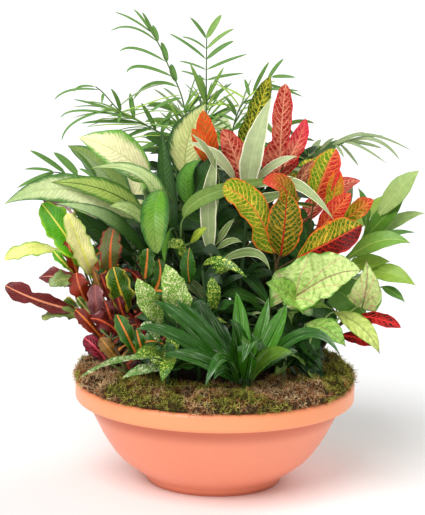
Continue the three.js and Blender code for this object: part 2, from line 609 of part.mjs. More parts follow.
function boxOf(solid) {
  const { min, max } = solid.boundingBox();
  return new THREE.Box3(new THREE.Vector3(...min), new THREE.Vector3(...max));
}

function stand(node, solid) {
  standing.push({ node, solid, box: boxOf(solid) });
  return solid;
}

function crossed(node, solid) {
  const box = boxOf(solid);
  return standing.find((other) => other.node !== node && other.box.intersectsBox(box)
    && !other.solid.intersect(solid).isEmpty());
}

// Stems stand upright in the soil and then follow their path.
function stemCurve(root, path) {
  const foot = new THREE.Vector3(...root, CURVE_FOOT_Z);
  return new THREE.CatmullRomCurve3([foot, ...path], false, 'centripetal');
}

// Points close together along the straight facets that a stem's tube is made of.
function spineOf(curve, steps) {
  const corners = curve.getSpacedPoints(steps);
  const along = (i, share) => corners[i].clone().lerp(corners[i + 1], share);
  return corners.slice(1).flatMap((end, i) => SPINE_SHARES.map((share) => along(i, share)));
}

function stemSolid({ root, curve, radius, steps, sides = STEM_SIDES }) {
  const low = new THREE.Vector3(...root, ROOT_Z);
  const high = new THREE.Vector3(...root, STEM_UPRIGHT_TO_Z);
  return tube(new THREE.LineCurve3(low, high), radius, sides, 1)
    .add(tube(curve, STEM_TAPER * radius, sides, steps));
}

// The point of the stem that a leaf's stalk leaves from: below its base by part of its distance.
function stalkStart(spine, base, drop) {
  const miss = (point) => {
    const away = Math.hypot(point.x - base.x, point.y - base.y);
    return Math.abs(base.z - STALK_SLOPE * away - drop - point.z) + STALK_AWAY * away;
  };
  return spine.reduce((best, point) => (miss(point) < miss(best) ? point : best));
}

// A leaf moves back or forward, and its stalk up or down its stem, until it is clear of the
// leaves of other stems.
const SHIFTS = [0, -4, 4, -8, 8, -12, 12, -16, 16, -20, 20, -25, 25, -30, 30, -36, 36, -42, 42, -50, 50];
const DROPS = [0, 24, -18, 50];
const BASE_SHIFT = 0.4;
const CREST_SHIFT = 0.6;

function growLeaf({ node, spine, kind, ends, width, face, turn = 0, twist = 0 }) {
  const build = (shift, drop, room) => {
    const [base, crest, tip] = ends(shift);
    const start = kind.stalk ? stalkStart(spine, base, drop) : base;
    const rib = ribThrough(base, crest, tip);
    return leafSolid(start, rib, kind, width + 2 * room, face, turn, twist, BLADE_THICKNESS + 2 * room);
  };
  for (const shift of SHIFTS) {
    for (const drop of kind.stalk ? DROPS : [0]) {
      if (!crossed(node, build(shift, drop, LEAF_ROOM))) return stand(node, build(shift, drop, 0));
    }
  }
  throw new Error(`A leaf of ${node} finds no clear place.`);
}

const nodes = new Map();
nodes.set('bowl', [stand('bowl', bowl())]);
let soilSolid = soil();
let mossSolid = moss();

const stems = [];
const leaves = [];

for (const [node, plant] of Object.entries(PLANTS)) {
  const curve = stemCurve(plant.root, plant.path.map((p) => sighted(...p)));
  const steps = 1 + plant.path.length;
  const spine = spineOf(curve, steps);
  stems.push({ node, curve, root: plant.root, radius: plant.radius, steps });
  plant.leaves.forEach((row) => {
    const [bx, bz, by, cx, cz, cy, tx, tz, ty, width, turn = 0, twist = 0, kind = plant.kind] = row;
    const out = (depth) => by + REACH_OUT * (depth - by);
    const ends = (shift) => [
      sighted(bx, bz, by + BASE_SHIFT * shift),
      sighted(cx, cz, out(cy) + shift),
      sighted(tx, tz, out(ty) + shift),
    ];
    leaves.push({ node, spine, kind: KINDS[kind], ends, width, face: FACE_FRONT, turn, twist });
  });
}

const UP = new THREE.Vector3(0, 0, 1);
const raised = (point, height) => point.clone().addScaledVector(UP, height);

for (const [node, plant] of Object.entries(BACK_STEMS)) {
  const top = new THREE.Vector3(...plant.top);
  const foot = new THREE.Vector3(...plant.root, STEM_UPRIGHT_TO_Z);
  const bend = foot.clone().lerp(top, 0.5).add(new THREE.Vector3(0, -4, 0));
  const curve = stemCurve(plant.root, [bend, top]);
  const steps = 4;
  const spine = spineOf(curve, steps);
  stems.push({ node, curve, root: plant.root, radius: plant.radius, steps });
  for (let i = 0; i < plant.count; i += 1) {
    const along = THREE.MathUtils.lerp(plant.from, 1, i / (plant.count - 1));
    const bearing = THREE.MathUtils.degToRad(plant.bearing + plant.spread * Math.sin(2.4 * i + 0.6));
    const out = new THREE.Vector3(Math.cos(bearing), Math.sin(bearing), 0);
    const reach = THREE.MathUtils.lerp(...plant.reach, 0.5 + 0.5 * Math.sin(1.7 * i));
    const climb = THREE.MathUtils.lerp(...BACK_LEAF.climb, along) + BACK_LEAF.vary * Math.sin(3.1 * i);
    const rise = reach * climb;
    const start = spine[Math.round((0.1 + 0.86 * along) * (spine.length - 1))];
    const ends = (shift) => {
      const swung = out.clone().applyAxisAngle(UP, shift * BACK_LEAF.swing);
      const base = raised(start.clone().addScaledVector(swung, BACK_LEAF.base * reach), 0.25 * rise);
      const tip = raised(start.clone().addScaledVector(swung, reach), rise);
      const crest = raised(base.clone().lerp(tip, 0.5), BACK_LEAF.arch * reach);
      return [base, crest, tip];
    };
    const face = out.clone().multiplyScalar(-BACK_LEAF.tip * climb).add(UP).normalize();
    const turn = BACK_LEAF.turn * Math.sin(5 * i);
    leaves.push({ node, spine, kind: KINDS[plant.kind], ends, width: plant.width, face, turn });
  }
}

// Each leaflet of a frond is a narrow pointed strip whose base lies inside the frond's rib.
function addLeaflet(node, places, width) {
  const [base, crest, tip] = places;
  const face = new THREE.Vector3(0, base.y > BACK_BEGINS_Y ? 0.8 : -0.8, 0.6);
  const kind = base.distanceTo(tip) > LONG_LEAFLET ? KINDS.longLeaflet : KINDS.leaflet;
  const deeper = (point, depth) => point.clone().add(new THREE.Vector3(0, depth, 0));
  const ends = (shift) => [base, deeper(crest, CREST_SHIFT * shift), deeper(tip, shift)];
  leaves.push({ node, kind, ends, width, face, turn: LEAFLET_TURN });
}

const fronds = [];
for (const [node, frond] of Object.entries(FRONDS)) {
  const curve = stemCurve(frond.root, frond.path.map((p) => sighted(...p)));
  const steps = 3 + frond.path.length;
  const spine = spineOf(curve, steps);
  frond.leaflets.forEach(([bx, bz, tx, tz, width, cx = (bx + tx) / 2, cz = (bz + tz) / 2 + 2], i) => {
    const off = (p) => sighted(bx, bz, p.y).distanceTo(p);
    const base = spine.reduce((near, p) => (off(p) < off(near) ? p : near));
    const lean = LEAFLET_LEAN[i % 2];
    const crest = sighted(cx, cz, base.y + CREST_SHIFT * lean);
    addLeaflet(node, [base, crest, sighted(tx, tz, base.y + lean)], width);
  });
  fronds.push({ node, root: frond.root, curve, radius: FROND_RADIUS, steps, sides: FROND_SIDES });
}

for (const [node, frond] of Object.entries(BACK_FRONDS)) {
  const bearing = THREE.MathUtils.degToRad(frond.bearing);
  const out = new THREE.Vector3(Math.cos(bearing), Math.sin(bearing), 0);
  const side = new THREE.Vector3(-out.y, out.x, 0);
  const top = new THREE.Vector3(...frond.lean, frond.height);
  const foot = new THREE.Vector3(...frond.root, STEM_UPRIGHT_TO_Z);
  const bend = foot.clone().lerp(top, 0.6).addScaledVector(out, -16);
  const curve = stemCurve(frond.root, [bend, top]);
  const steps = 5;
  const spine = spineOf(curve, steps);
  for (let i = 0; i < frond.pairs; i += 1) {
    const share = THREE.MathUtils.lerp(BACK_LEAFLET.from, BACK_LEAFLET.to, i / (frond.pairs - 1));
    const base = spine[Math.round(share * (spine.length - 1))];
    const reach = THREE.MathUtils.lerp(...BACK_LEAFLET.reach, i / (frond.pairs - 1));
    [-1, 1].forEach((hand) => {
      const leaned = base.clone().addScaledVector(side, hand * reach);
      leaned.addScaledVector(out, BACK_LEAFLET.out + i);
      const tip = raised(leaned, BACK_LEAFLET.rise);
      const crest = raised(base.clone().lerp(leaned, 0.5), BACK_LEAFLET.arch);
      addLeaflet(node, [base, crest, tip], BACK_LEAFLET.width);
    });
  }
  fronds.push({ node, root: frond.root, curve, radius: FROND_RADIUS, steps, sides: FROND_SIDES });
}

// Holes for the stems, in the soil and, where they pass it, in the moss.
[...stems, ...fronds].forEach(({ root, radius, sides = STEM_SIDES }) => {
  const low = new THREE.Vector3(...root, ROOT_Z - SEAT_GAP);
  const high = new THREE.Vector3(...root, STEM_UPRIGHT_TO_Z + 10);
  const room = HOLE_ROOM / Math.cos(Math.PI / sides);
  const hole = tube(new THREE.LineCurve3(low, high), radius + room, sides, 1);
  soilSolid = soilSolid.subtract(hole);
  if (Math.hypot(...root) > SOIL_CROWN_RADIUS) mossSolid = mossSolid.subtract(hole);
});
nodes.set('soil', [stand('soil', soilSolid)]);
nodes.set('moss', [stand('moss', mossSolid)]);

[...stems, ...fronds].forEach((stem) => {
  const made = stemSolid(stem);
  if (crossed(stem.node, made)) throw new Error(`${stem.node} crosses another stem.`);
  nodes.set(stem.node, [stand(stem.node, made)]);
});

// The largest leaves take their places first.
const sizeOf = (leaf) => leaf.width * leaf.ends(0)[0].distanceTo(leaf.ends(0)[2]);
leaves.sort((a, b) => sizeOf(b) - sizeOf(a));
leaves.forEach((leaf) => nodes.get(leaf.node).push(growLeaf(leaf)));

const garden = new THREE.Group();
for (const [name, solids] of nodes) {
  const whole = solids.reduce((all, one) => all.add(one)).asOriginal().simplify(FINEST_DETAIL);
  const paint = Object.keys(COLOURS).find((key) => name.startsWith(key));
  const material = new THREE.MeshStandardMaterial({
    color: COLOURS[paint], roughness: name === 'soil' || name === 'moss' ? 0.95 : 0.5, metalness: 0,
  });
  const mesh = new THREE.Mesh(geometryOf(whole), material);
  mesh.name = name;
  garden.add(mesh);
}

export default garden;
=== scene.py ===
import math
import random

import bpy
import numpy as np
from mathutils import Matrix, Vector, noise
from mathutils.bvhtree import BVHTree


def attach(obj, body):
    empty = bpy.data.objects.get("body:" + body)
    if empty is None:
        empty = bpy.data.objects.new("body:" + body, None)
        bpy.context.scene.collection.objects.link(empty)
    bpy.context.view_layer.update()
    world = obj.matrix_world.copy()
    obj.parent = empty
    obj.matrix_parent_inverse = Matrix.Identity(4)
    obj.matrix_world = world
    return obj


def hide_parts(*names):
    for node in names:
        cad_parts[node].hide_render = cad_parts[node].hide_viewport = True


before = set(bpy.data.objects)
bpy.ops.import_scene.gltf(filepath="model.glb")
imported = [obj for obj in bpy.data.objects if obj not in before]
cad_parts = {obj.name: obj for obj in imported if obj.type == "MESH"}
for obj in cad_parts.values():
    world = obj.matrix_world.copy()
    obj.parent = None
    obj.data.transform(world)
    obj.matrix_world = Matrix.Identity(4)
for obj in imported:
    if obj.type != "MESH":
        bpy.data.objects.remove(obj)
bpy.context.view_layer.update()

# A dish garden: a round plastic bowl of soil and moss, planted close with mixed foliage.
# The tables are in millimetres, as the planting is set out; meshes are made in metres.
mm = 0.001


# Camera and light

view = {  # the lens in pixels is for a picture 515 pixels tall; down and roll are in degrees
    "place": (-0.006, -2.5, 0.764), "down": 10.79, "roll": 1.0, "sensor": 36, "lensPixels": 2016,
    "tallPixels": 515,
}
studio = {  # each light shines from a side; soft is its spread in degrees
    "key": {"side": (-0.5, -0.85, 1.15), "soft": 42, "strength": 2.3},
    "back": {"side": (0.7, 0.7, 0.9), "soft": 40, "strength": 0.8},
    "sky": 0.48, "exposure": 0.0,
}


def photoCamera():
    data = bpy.data.cameras.new("camera")
    data.sensor_width = view["sensor"]
    data.lens = view["lensPixels"] / view["tallPixels"] * view["sensor"]
    made = bpy.data.objects.new("camera", data)
    bpy.context.scene.collection.objects.link(made)
    tipped = Matrix.Rotation(math.radians(90 - view["down"]), 4, "X")
    rolled = Matrix.Rotation(math.radians(view["roll"]), 4, "Z")
    made.matrix_world = Matrix.Translation(view["place"]) @ tipped @ rolled
    return made


def softLight(name, settings):
    lamp = bpy.data.lights.new(name, "SUN")
    lamp.energy = settings["strength"]
    lamp.angle = math.radians(settings["soft"])
    holder = bpy.data.objects.new(name, lamp)
    bpy.context.scene.collection.objects.link(holder)
    holder.matrix_world = (-Vector(settings["side"])).to_track_quat("-Z", "Y").to_matrix().to_4x4()


bpy.context.scene.camera = photoCamera()
for lightName in ("key", "back"):
    softLight(lightName, studio[lightName])

sky = bpy.data.worlds.new("paleStudio")
sky.use_nodes = True
sky.node_tree.nodes["Background"].inputs["Color"].default_value = (1, 1, 1, 1)
sky.node_tree.nodes["Background"].inputs["Strength"].default_value = studio["sky"]
bpy.context.scene.world = sky
bpy.context.scene.view_settings.view_transform = "Standard"
bpy.context.scene.view_settings.exposure = studio["exposure"]
print("camera and light")


# Shader tools

def rgb(red, green, blue):  # screen colour, 0 to 255, as the linear colour of a shader
    screen = [c / 255 for c in (red, green, blue)]
    return tuple(c / 12.92 if c <= 0.04045 else ((c + 0.055) / 1.055) ** 2.4 for c in screen) + (1.0,)


def addNode(tree, kind, settings=None, values=None):  # a value is a number, a colour or a link
    made = tree.nodes.new(kind)
    for key, value in (settings or {}).items():
        setattr(made, key, value)
    for key, value in (values or {}).items():
        value = value.socket if isinstance(value, Wire) else value
        if isinstance(value, bpy.types.NodeSocket):
            tree.links.new(value, made.inputs[key])
        else:
            made.inputs[key].default_value = value
    return made


class Wire:  # a number on its way through a material
    def __init__(self, paint, socket):
        self.paint, self.socket = paint, socket

    def maths(self, operation, first, second=0.0):
        settings = {"operation": operation}
        return Wire(self.paint, self.paint.node("ShaderNodeMath", settings, {0: first, 1: second}).outputs[0])

    def __add__(self, other):
        return self.maths("ADD", self, other)

    def __sub__(self, other):
        return self.maths("SUBTRACT", self, other)

    def __rsub__(self, other):
        return self.maths("SUBTRACT", other, self)

    def __mul__(self, other):
        return self.maths("MULTIPLY", self, other)

    def __truediv__(self, other):
        return self.maths("DIVIDE", self, other)

    def __rtruediv__(self, other):
        return self.maths("DIVIDE", other, self)

    def __abs__(self):
        return self.maths("ABSOLUTE", self)

    __radd__, __rmul__ = __add__, __mul__

    def part(self):  # what is left over a whole number
        return self.maths("FRACT", self)

    def atMost(self, other):
        return self.maths("MINIMUM", self, other)

    def angle(self, other):  # of a direction this far up and that far along
        return self.maths("ARCTAN2", self, other)

    def smooth(self, low, high):  # 0 at low, 1 at high
        settings = {"interpolation_type": "SMOOTHSTEP", "clamp": True}
        values = {"Value": self, "From Min": low, "From Max": high}
        return Wire(self.paint, self.paint.node("ShaderNodeMapRange", settings, values).outputs[0])


class Paint:  # a material under construction; finish values are the shader's own
    def __init__(self, name, **finish):
        self.material = bpy.data.materials.new(name)
        self.material.use_nodes = True
        self.tree = self.material.node_tree
        self.shader = self.tree.nodes["Principled BSDF"]
        for socket, value in finish.items():
            self.shader.inputs[socket.replace("_", " ")].default_value = value

    def node(self, kind, settings=None, values=None):
        return addNode(self.tree, kind, settings, values)

    def attribute(self, name, output):
        return self.node("ShaderNodeAttribute", {"attribute_name": name}).outputs[output]

    def split(self, vector):
        made = self.node("ShaderNodeSeparateXYZ", None, {0: vector})
        return [Wire(self, socket) for socket in made.outputs]

    def join(self, x, y, z):
        return self.node("ShaderNodeCombineXYZ", None, {0: x, 1: y, 2: z}).outputs[0]

    def noise(self, place, scale, detail, rough=0.5):
        values = {"Vector": place, "Scale": scale, "Detail": detail, "Roughness": rough}
        return Wire(self, self.node("ShaderNodeTexNoise", None, values).outputs[0])

    def cells(self, place, scale, feature="F1"):  # how far from the middle of a cell, or from its edge
        values = {"Vector": place, "Scale": scale}
        return Wire(self, self.node("ShaderNodeTexVoronoi", {"feature": feature}, values).outputs["Distance"])

    def mix(self, share, first, second, blend="MIX"):
        settings = {"data_type": "RGBA", "blend_type": blend}
        return self.node("ShaderNodeMix", settings, {0: share, 6: first, 7: second}).outputs[2]

    def shaded(self, colour, share):  # a colour times a number
        return self.mix(1.0, colour, self.join(share, share, share), "MULTIPLY")

    def feed(self, socket, value):
        self.tree.links.new(value.socket if isinstance(value, Wire) else value, self.shader.inputs[socket])

    def bump(self, height, strength, distance):
        values = {"Height": height, "Strength": strength, "Distance": distance}
        self.feed("Normal", self.node("ShaderNodeBump", None, values).outputs[0])

    def objectPlace(self):
        return self.node("ShaderNodeTexCoord").outputs["Object"]


# Colours of the leaves: main, side veins, midrib, margin

looks = {
    "creamLeaf": [(252, 246, 204), (236, 238, 182), (226, 226, 160), (112, 176, 66)],
    # darkened for a cream leaf that sits in shade: painted shade
    "creamShade": [(216, 224, 160), (180, 202, 122), (176, 196, 116), (44, 92, 34)],
    "palePoint": [(250, 255, 212), (234, 246, 188), (210, 226, 160), (100, 152, 74)],
    "oliveFold": [(178, 200, 108), (146, 174, 82), (70, 104, 40), (84, 132, 50)],
    "paleStrap": [(204, 222, 162), (172, 202, 128), (146, 182, 100), (90, 140, 64)],
    "paleUnder": [(196, 216, 148), (160, 190, 114), (156, 186, 108), (112, 152, 80)],
    "greyGreen": [(172, 200, 138), (186, 208, 150), (180, 206, 144), (60, 110, 50)],
    "hangGreen": [(124, 154, 66), (112, 142, 56), (88, 126, 48), (60, 112, 34)],
    "brightGreen": [(100, 160, 40), (92, 152, 36), (120, 172, 58), (50, 112, 24)],
    "midGreen": [(96, 152, 52), (78, 136, 44), (118, 166, 68), (56, 110, 32)],
    "darkGreen": [(50, 92, 26), (40, 80, 22), (66, 108, 38), (30, 70, 18)],
    # for leaves deep in the planting: partly a real dark green, partly painted shade
    "shadeGreen": [(26, 58, 16), (32, 68, 20), (42, 78, 28), (20, 46, 12)],
    "deepGreen": [(42, 88, 26), (48, 98, 30), (64, 112, 40), (34, 74, 20)],
    "deepRed": [(64, 20, 16), (92, 32, 22), (180, 78, 44), (50, 16, 14)],
    "ribbonGreen": [(112, 142, 62), (130, 164, 80), (140, 168, 92), (76, 120, 42)],
    "yellowFleck": [(120, 156, 44), (206, 210, 80), (180, 190, 70), (70, 120, 34)],
    "whiteEdge": [(180, 194, 154), (194, 208, 164), (208, 218, 178), (252, 250, 236)],
    "whiteGrey": [(150, 168, 120), (166, 182, 134), (178, 192, 148), (250, 248, 228)],
    # darkened for white-edged leaves that sit in shade: painted shade
    "whiteShade": [(110, 132, 80), (132, 152, 96), (146, 164, 110), (220, 224, 186)],
    "pinkNet": [(166, 18, 22), (255, 158, 134), (255, 168, 144), (236, 44, 64)],
    "hotPink": [(232, 40, 76), (240, 92, 100), (246, 104, 104), (236, 40, 100)],
    "brownPink": [(116, 52, 36), (220, 150, 120), (220, 150, 116), (170, 84, 60)],
    "orangeRed": [(244, 88, 36), (168, 134, 40), (250, 120, 60), (250, 74, 44)],
    "hotRed": [(236, 60, 48), (246, 100, 66), (244, 90, 66), (240, 62, 60)],
    "goldNet": [(92, 146, 22), (252, 214, 78), (252, 160, 70), (250, 132, 48)],
    "greenGold": [(62, 108, 8), (246, 194, 64), (214, 56, 40), (250, 122, 46)],
    "oliveGold": [(46, 90, 6), (220, 170, 56), (206, 52, 38), (240, 114, 44)],
    "darkGold": [(36, 80, 12), (220, 214, 66), (214, 204, 70), (70, 108, 24)],
    "bloodRed": [(66, 4, 10), (176, 34, 28), (232, 92, 52), (190, 26, 30)],
    "redNet": [(190, 26, 34), (252, 132, 78), (252, 136, 80), (240, 50, 58)],
    "blackRed": [(30, 8, 10), (240, 40, 48), (244, 56, 58), (232, 50, 52)],
    "limeGold": [(84, 174, 26), (124, 192, 40), (250, 246, 110), (160, 214, 44)],
    "creamGold": [(255, 252, 176), (255, 236, 170), (252, 250, 128), (176, 210, 90)],
    "paleYellow": [(236, 238, 140), (214, 226, 104), (240, 240, 146), (120, 178, 40)],
    "rust": [(150, 40, 16), (176, 62, 30), (240, 122, 76), (116, 30, 14)],
    "maroon": [(112, 26, 32), (134, 46, 48), (255, 160, 128), (124, 38, 46)],
    "olive": [(126, 148, 82), (142, 160, 96), (160, 170, 100), (96, 118, 60)],
    "greenCream": [(74, 116, 48), (160, 176, 100), (226, 222, 140), (186, 200, 120)],
    "dustyPurple": [(132, 70, 78), (150, 88, 94), (164, 90, 88), (154, 98, 104)],
    "redOrange": [(124, 34, 20), (150, 56, 30), (255, 138, 66), (160, 62, 36)],
    "bloodBrown": [(104, 22, 26), (124, 36, 34), (232, 96, 60), (84, 20, 24)],
    "magenta": [(104, 14, 32), (206, 56, 92), (240, 92, 116), (40, 10, 16)],
    "tanBrown": [(140, 100, 48), (156, 116, 60), (204, 142, 76), (106, 62, 34)],
    "greyBlotch": [(104, 122, 66), (130, 54, 44), (248, 116, 46), (164, 40, 40)],
    "greenGoldRib": [(50, 98, 22), (110, 138, 40), (246, 200, 66), (206, 192, 70)],
    "greenOrange": [(46, 100, 26), (70, 122, 38), (255, 146, 62), (104, 140, 48)],
    "creamDots": [(120, 174, 48), (255, 253, 206), (172, 202, 94), (88, 148, 36)],
    "limeDots": [(52, 112, 22), (222, 232, 112), (110, 152, 46), (44, 100, 22)],
    "whiteDots": [(92, 138, 60), (248, 248, 222), (160, 190, 110), (64, 118, 40)],
    "darkStrap": [(38, 92, 14), (58, 120, 26), (24, 70, 10), (36, 92, 16)],
    "blackStrap": [(30, 68, 20), (42, 84, 26), (24, 56, 18), (28, 64, 18)],
    "glossStrap": [(64, 130, 20), (96, 164, 44), (38, 92, 14), (58, 118, 20)],
    "brightStrap": [(98, 138, 42), (112, 154, 54), (80, 122, 36), (72, 116, 30)],
    "arrowPale": [(222, 242, 166), (164, 202, 106), (226, 176, 156), (112, 172, 72)],
    "arrowGreen": [(156, 200, 100), (88, 140, 52), (196, 200, 136), (70, 124, 44)],
    "limeLeaf": [(204, 220, 130), (182, 206, 104), (208, 222, 134), (136, 178, 66)],
    "lilyGreen": [(122, 172, 70), (134, 184, 80), (176, 210, 110), (104, 154, 56)],
    "lilyPale": [(170, 200, 128), (184, 212, 142), (196, 220, 150), (146, 184, 100)],
    "lilyDark": [(84, 136, 44), (94, 146, 52), (126, 170, 78), (68, 116, 34)],
    "lilyLime": [(150, 188, 70), (160, 196, 84), (176, 208, 102), (124, 166, 54)],
    "palmGreen": [(92, 138, 62), (104, 150, 70), (118, 162, 80), (76, 120, 50)],
    "palmPale": [(124, 166, 78), (136, 176, 88), (150, 186, 100), (104, 148, 64)],
    "palmLime": [(156, 194, 76), (166, 202, 88), (178, 210, 100), (128, 170, 60)],
    "palmDark": [(58, 98, 42), (66, 108, 48), (80, 122, 56), (48, 84, 34)],
    "palmHaze": [(146, 168, 128), (154, 176, 134), (164, 184, 142), (132, 156, 114)],
    "greenStalk": [(118, 150, 84)] * 4,
    "darkStalk": [(52, 82, 40)] * 4,
    "brownStalk": [(92, 74, 52)] * 4,
    "paleStalk": [(160, 184, 124)] * 4,
    "palmStalk": [(84, 116, 60)] * 4,
}
leafParts = ("main", "vein", "rib", "rim")
warmth = np.array([1.0, 1.0, 0.84, 1.0])  # the studio's white takes a little blue out of every leaf
linearLooks = {name: np.array([rgb(*colour) for colour in look]) * warmth for name, look in looks.items()}


# Leaf finishes: sizes in millimetres, shares of the half width from the midrib at 0 to the edge at 1.
# A leaf without a lean has long veins that run beside its midrib.

leafFinishes = {
    "dumbCane": {"slot": "dumb_cane_leaf", "rough": 0.36, "ribWide": 1.1, "veinEvery": 6.5,
        "veinWide": 0.22, "lean": 0.8, "bend": 8, "uneven": 0.5, "rim": (0.58, 0.9), "ragged": 0.66,
        "blotch": 0.42, "relief": 0.5, "coat": 0.15, "edge": 0.6},
    "ribbon": {"slot": "ribbon_leaf", "rough": 0.38, "ribWide": 0.9, "veinEvery": 2.2, "veinWide": 0.4,
        "uneven": 0.8, "rim": (0.88, 1.0), "ragged": 0.1, "blotch": 0.35, "relief": 0.3},
    "whiteEdged": {"slot": "white_edged_leaf", "rough": 0.46, "ribWide": 0.6, "veinEvery": 2.0,
        "veinWide": 0.35, "uneven": 0.5, "rim": (0.84, 0.89), "ragged": 0.12, "blotch": 0.3,
        "relief": 0.25},
    "broadCroton": {"slot": "broad_croton_leaf", "rough": 0.46, "gloss": 0.2, "ribWide": 1.5,
        "veinEvery": 8.4, "veinWide": 0.21, "lean": 0.7, "bend": 10, "uneven": 0.55, "rim": (0.84, 1.0),
        "ragged": 0.42, "relief": 0.7, "net": 5.0, "pools": 0.3},
    "curlyCroton": {"slot": "curly_croton_leaf", "rough": 0.26, "ribWide": 2.2, "veinEvery": 6.0,
        "veinWide": 0.2, "lean": 0.7, "bend": 14, "uneven": 0.7, "rim": (0.72, 1.0), "ragged": 0.7,
        "blotch": 0.35, "relief": 0.45, "coat": 0.3},
    "speckled": {"slot": "speckled_leaf", "rough": 0.36, "ribWide": 0.7, "veinEvery": 7.0, "veinWide": 0.15,
        "lean": 0.8, "bend": 10, "uneven": 0.4, "rim": (0.9, 1.0), "ragged": 0.4,
        "relief": 0.5, "dots": 2.0, "coat": 0.15},
    "strap": {"slot": "strap_leaf", "rough": 0.2, "ribWide": 1.1, "veinEvery": 1.3, "veinWide": 0.5,
        "uneven": 0.9, "rim": (0.92, 1.0), "ragged": 0.05, "blotch": 0.3, "relief": 0.5, "coat": 0.4,
        "paintedSheen": 0.62},
    "arrow": {"slot": "arrowhead_leaf", "rough": 0.42, "ribWide": 0.9, "veinEvery": 15.0, "veinWide": 0.05,
        "lean": 0.3, "bend": 14, "uneven": 0.25, "rim": (0.86, 1.0), "ragged": 0.5,
        "relief": 1.3, "mottle": 0.7, "fan": 0.42},
    "lily": {"slot": "lily_leaf", "rough": 0.34, "ribWide": 1.0, "veinEvery": 4.2, "veinWide": 0.25,
        "lean": 1.6, "bend": 12, "uneven": 0.5, "rim": (0.85, 1.0), "ragged": 0.3, "blotch": 0.35,
        "relief": 0.5, "coat": 0.15},
    "palm": {"slot": "palm_leaf", "rough": 0.4, "ribWide": 0.4, "veinEvery": 1.6, "veinWide": 0.5,
        "uneven": 0.4, "rim": (0.9, 1.0), "ragged": 0.1, "blotch": 0.3, "relief": 0.2},
}
leafMarks = {  # a noise is its scale, detail and roughness; ends are where a mark begins and is full
    "gloss": 0.38, "coatRough": 0.2, "seedStep": 90, "noises": ((0.05, 2), (0.16, 3), (0.9, 2)),
    "veins": {"hand": 0.46, "handEnds": (-0.1, 0.1), "atRib": 1.25, "thins": 0.6, "least": 0.45,
              "varies": 1.1, "ends": (0.55, 1.05), "fades": 0.25},
    "midrib": {"atBase": 1.15, "thins": 0.75, "soft": 0.5},
    "margin": {"line": 2.2, "across": 0.09, "seedStep": 40, "noise": (1.0, 3, 0.6)},
    "blotch": {"noise": (0.09, 4, 0.65), "ends": (0.5, 0.64)},
    "pools": {"uneven": 0.5, "nearRib": 0.12, "ends": (0.62, 0.7)},
    "net": {"squeeze": 0.7, "ends": (0.03, 0.1), "share": 0.4, "lineEnds": (0.2, 0.9), "lineShare": 0.3},
    "mottle": {"noise": (0.22, 4, 0.7), "ends": (0.5, 0.58)},
    "fan": {"centre": 4, "uneven": 0.16, "wide": 0.5, "ends": (0.35, 0.9), "out": 0.4, "outEnds": (0.1, 0.6),
            "share": 0.75},
    "dots": {"crowdNoise": (0.06, 2), "crowdEnds": (0.26, 0.5), "uneven": 0.5, "ends": (0.26, 0.38),
             "fewest": 0.25, "rimHides": 0.6},
    "splash": {"noise": (0.3, 4, 0.75), "ends": (0.53, 0.59), "fewest": 0.15},
    # painted highlight: pale streaks along glossy blades
    "paintedSheen": {"along": 0.025, "across": 0.75, "noise": (1.0, 3, 0.6), "ends": (0.53, 0.72),
              "rimEnds": (1.0, 0.6), "colour": (196, 214, 176)},
    "edge": {"ends": (0.93, 0.985), "dark": (10, 30, 8), "share": 0.6},
    "lit": {"rough": 0.5, "fine": 0.2, "least": 0.66},
    "under": {"share": 0.8, "paler": 0.45, "rim": 0.5, "rough": 0.14},
    "rough": {"fine": 0.16, "rough": 0.2},
    "bump": {"ridgeEnds": (0, 0.6), "ridge": 0.5, "midrib": -0.7, "rough": 0.8, "broad": 1.4, "fine": 0.12,
             "deep": 0.0016},
}


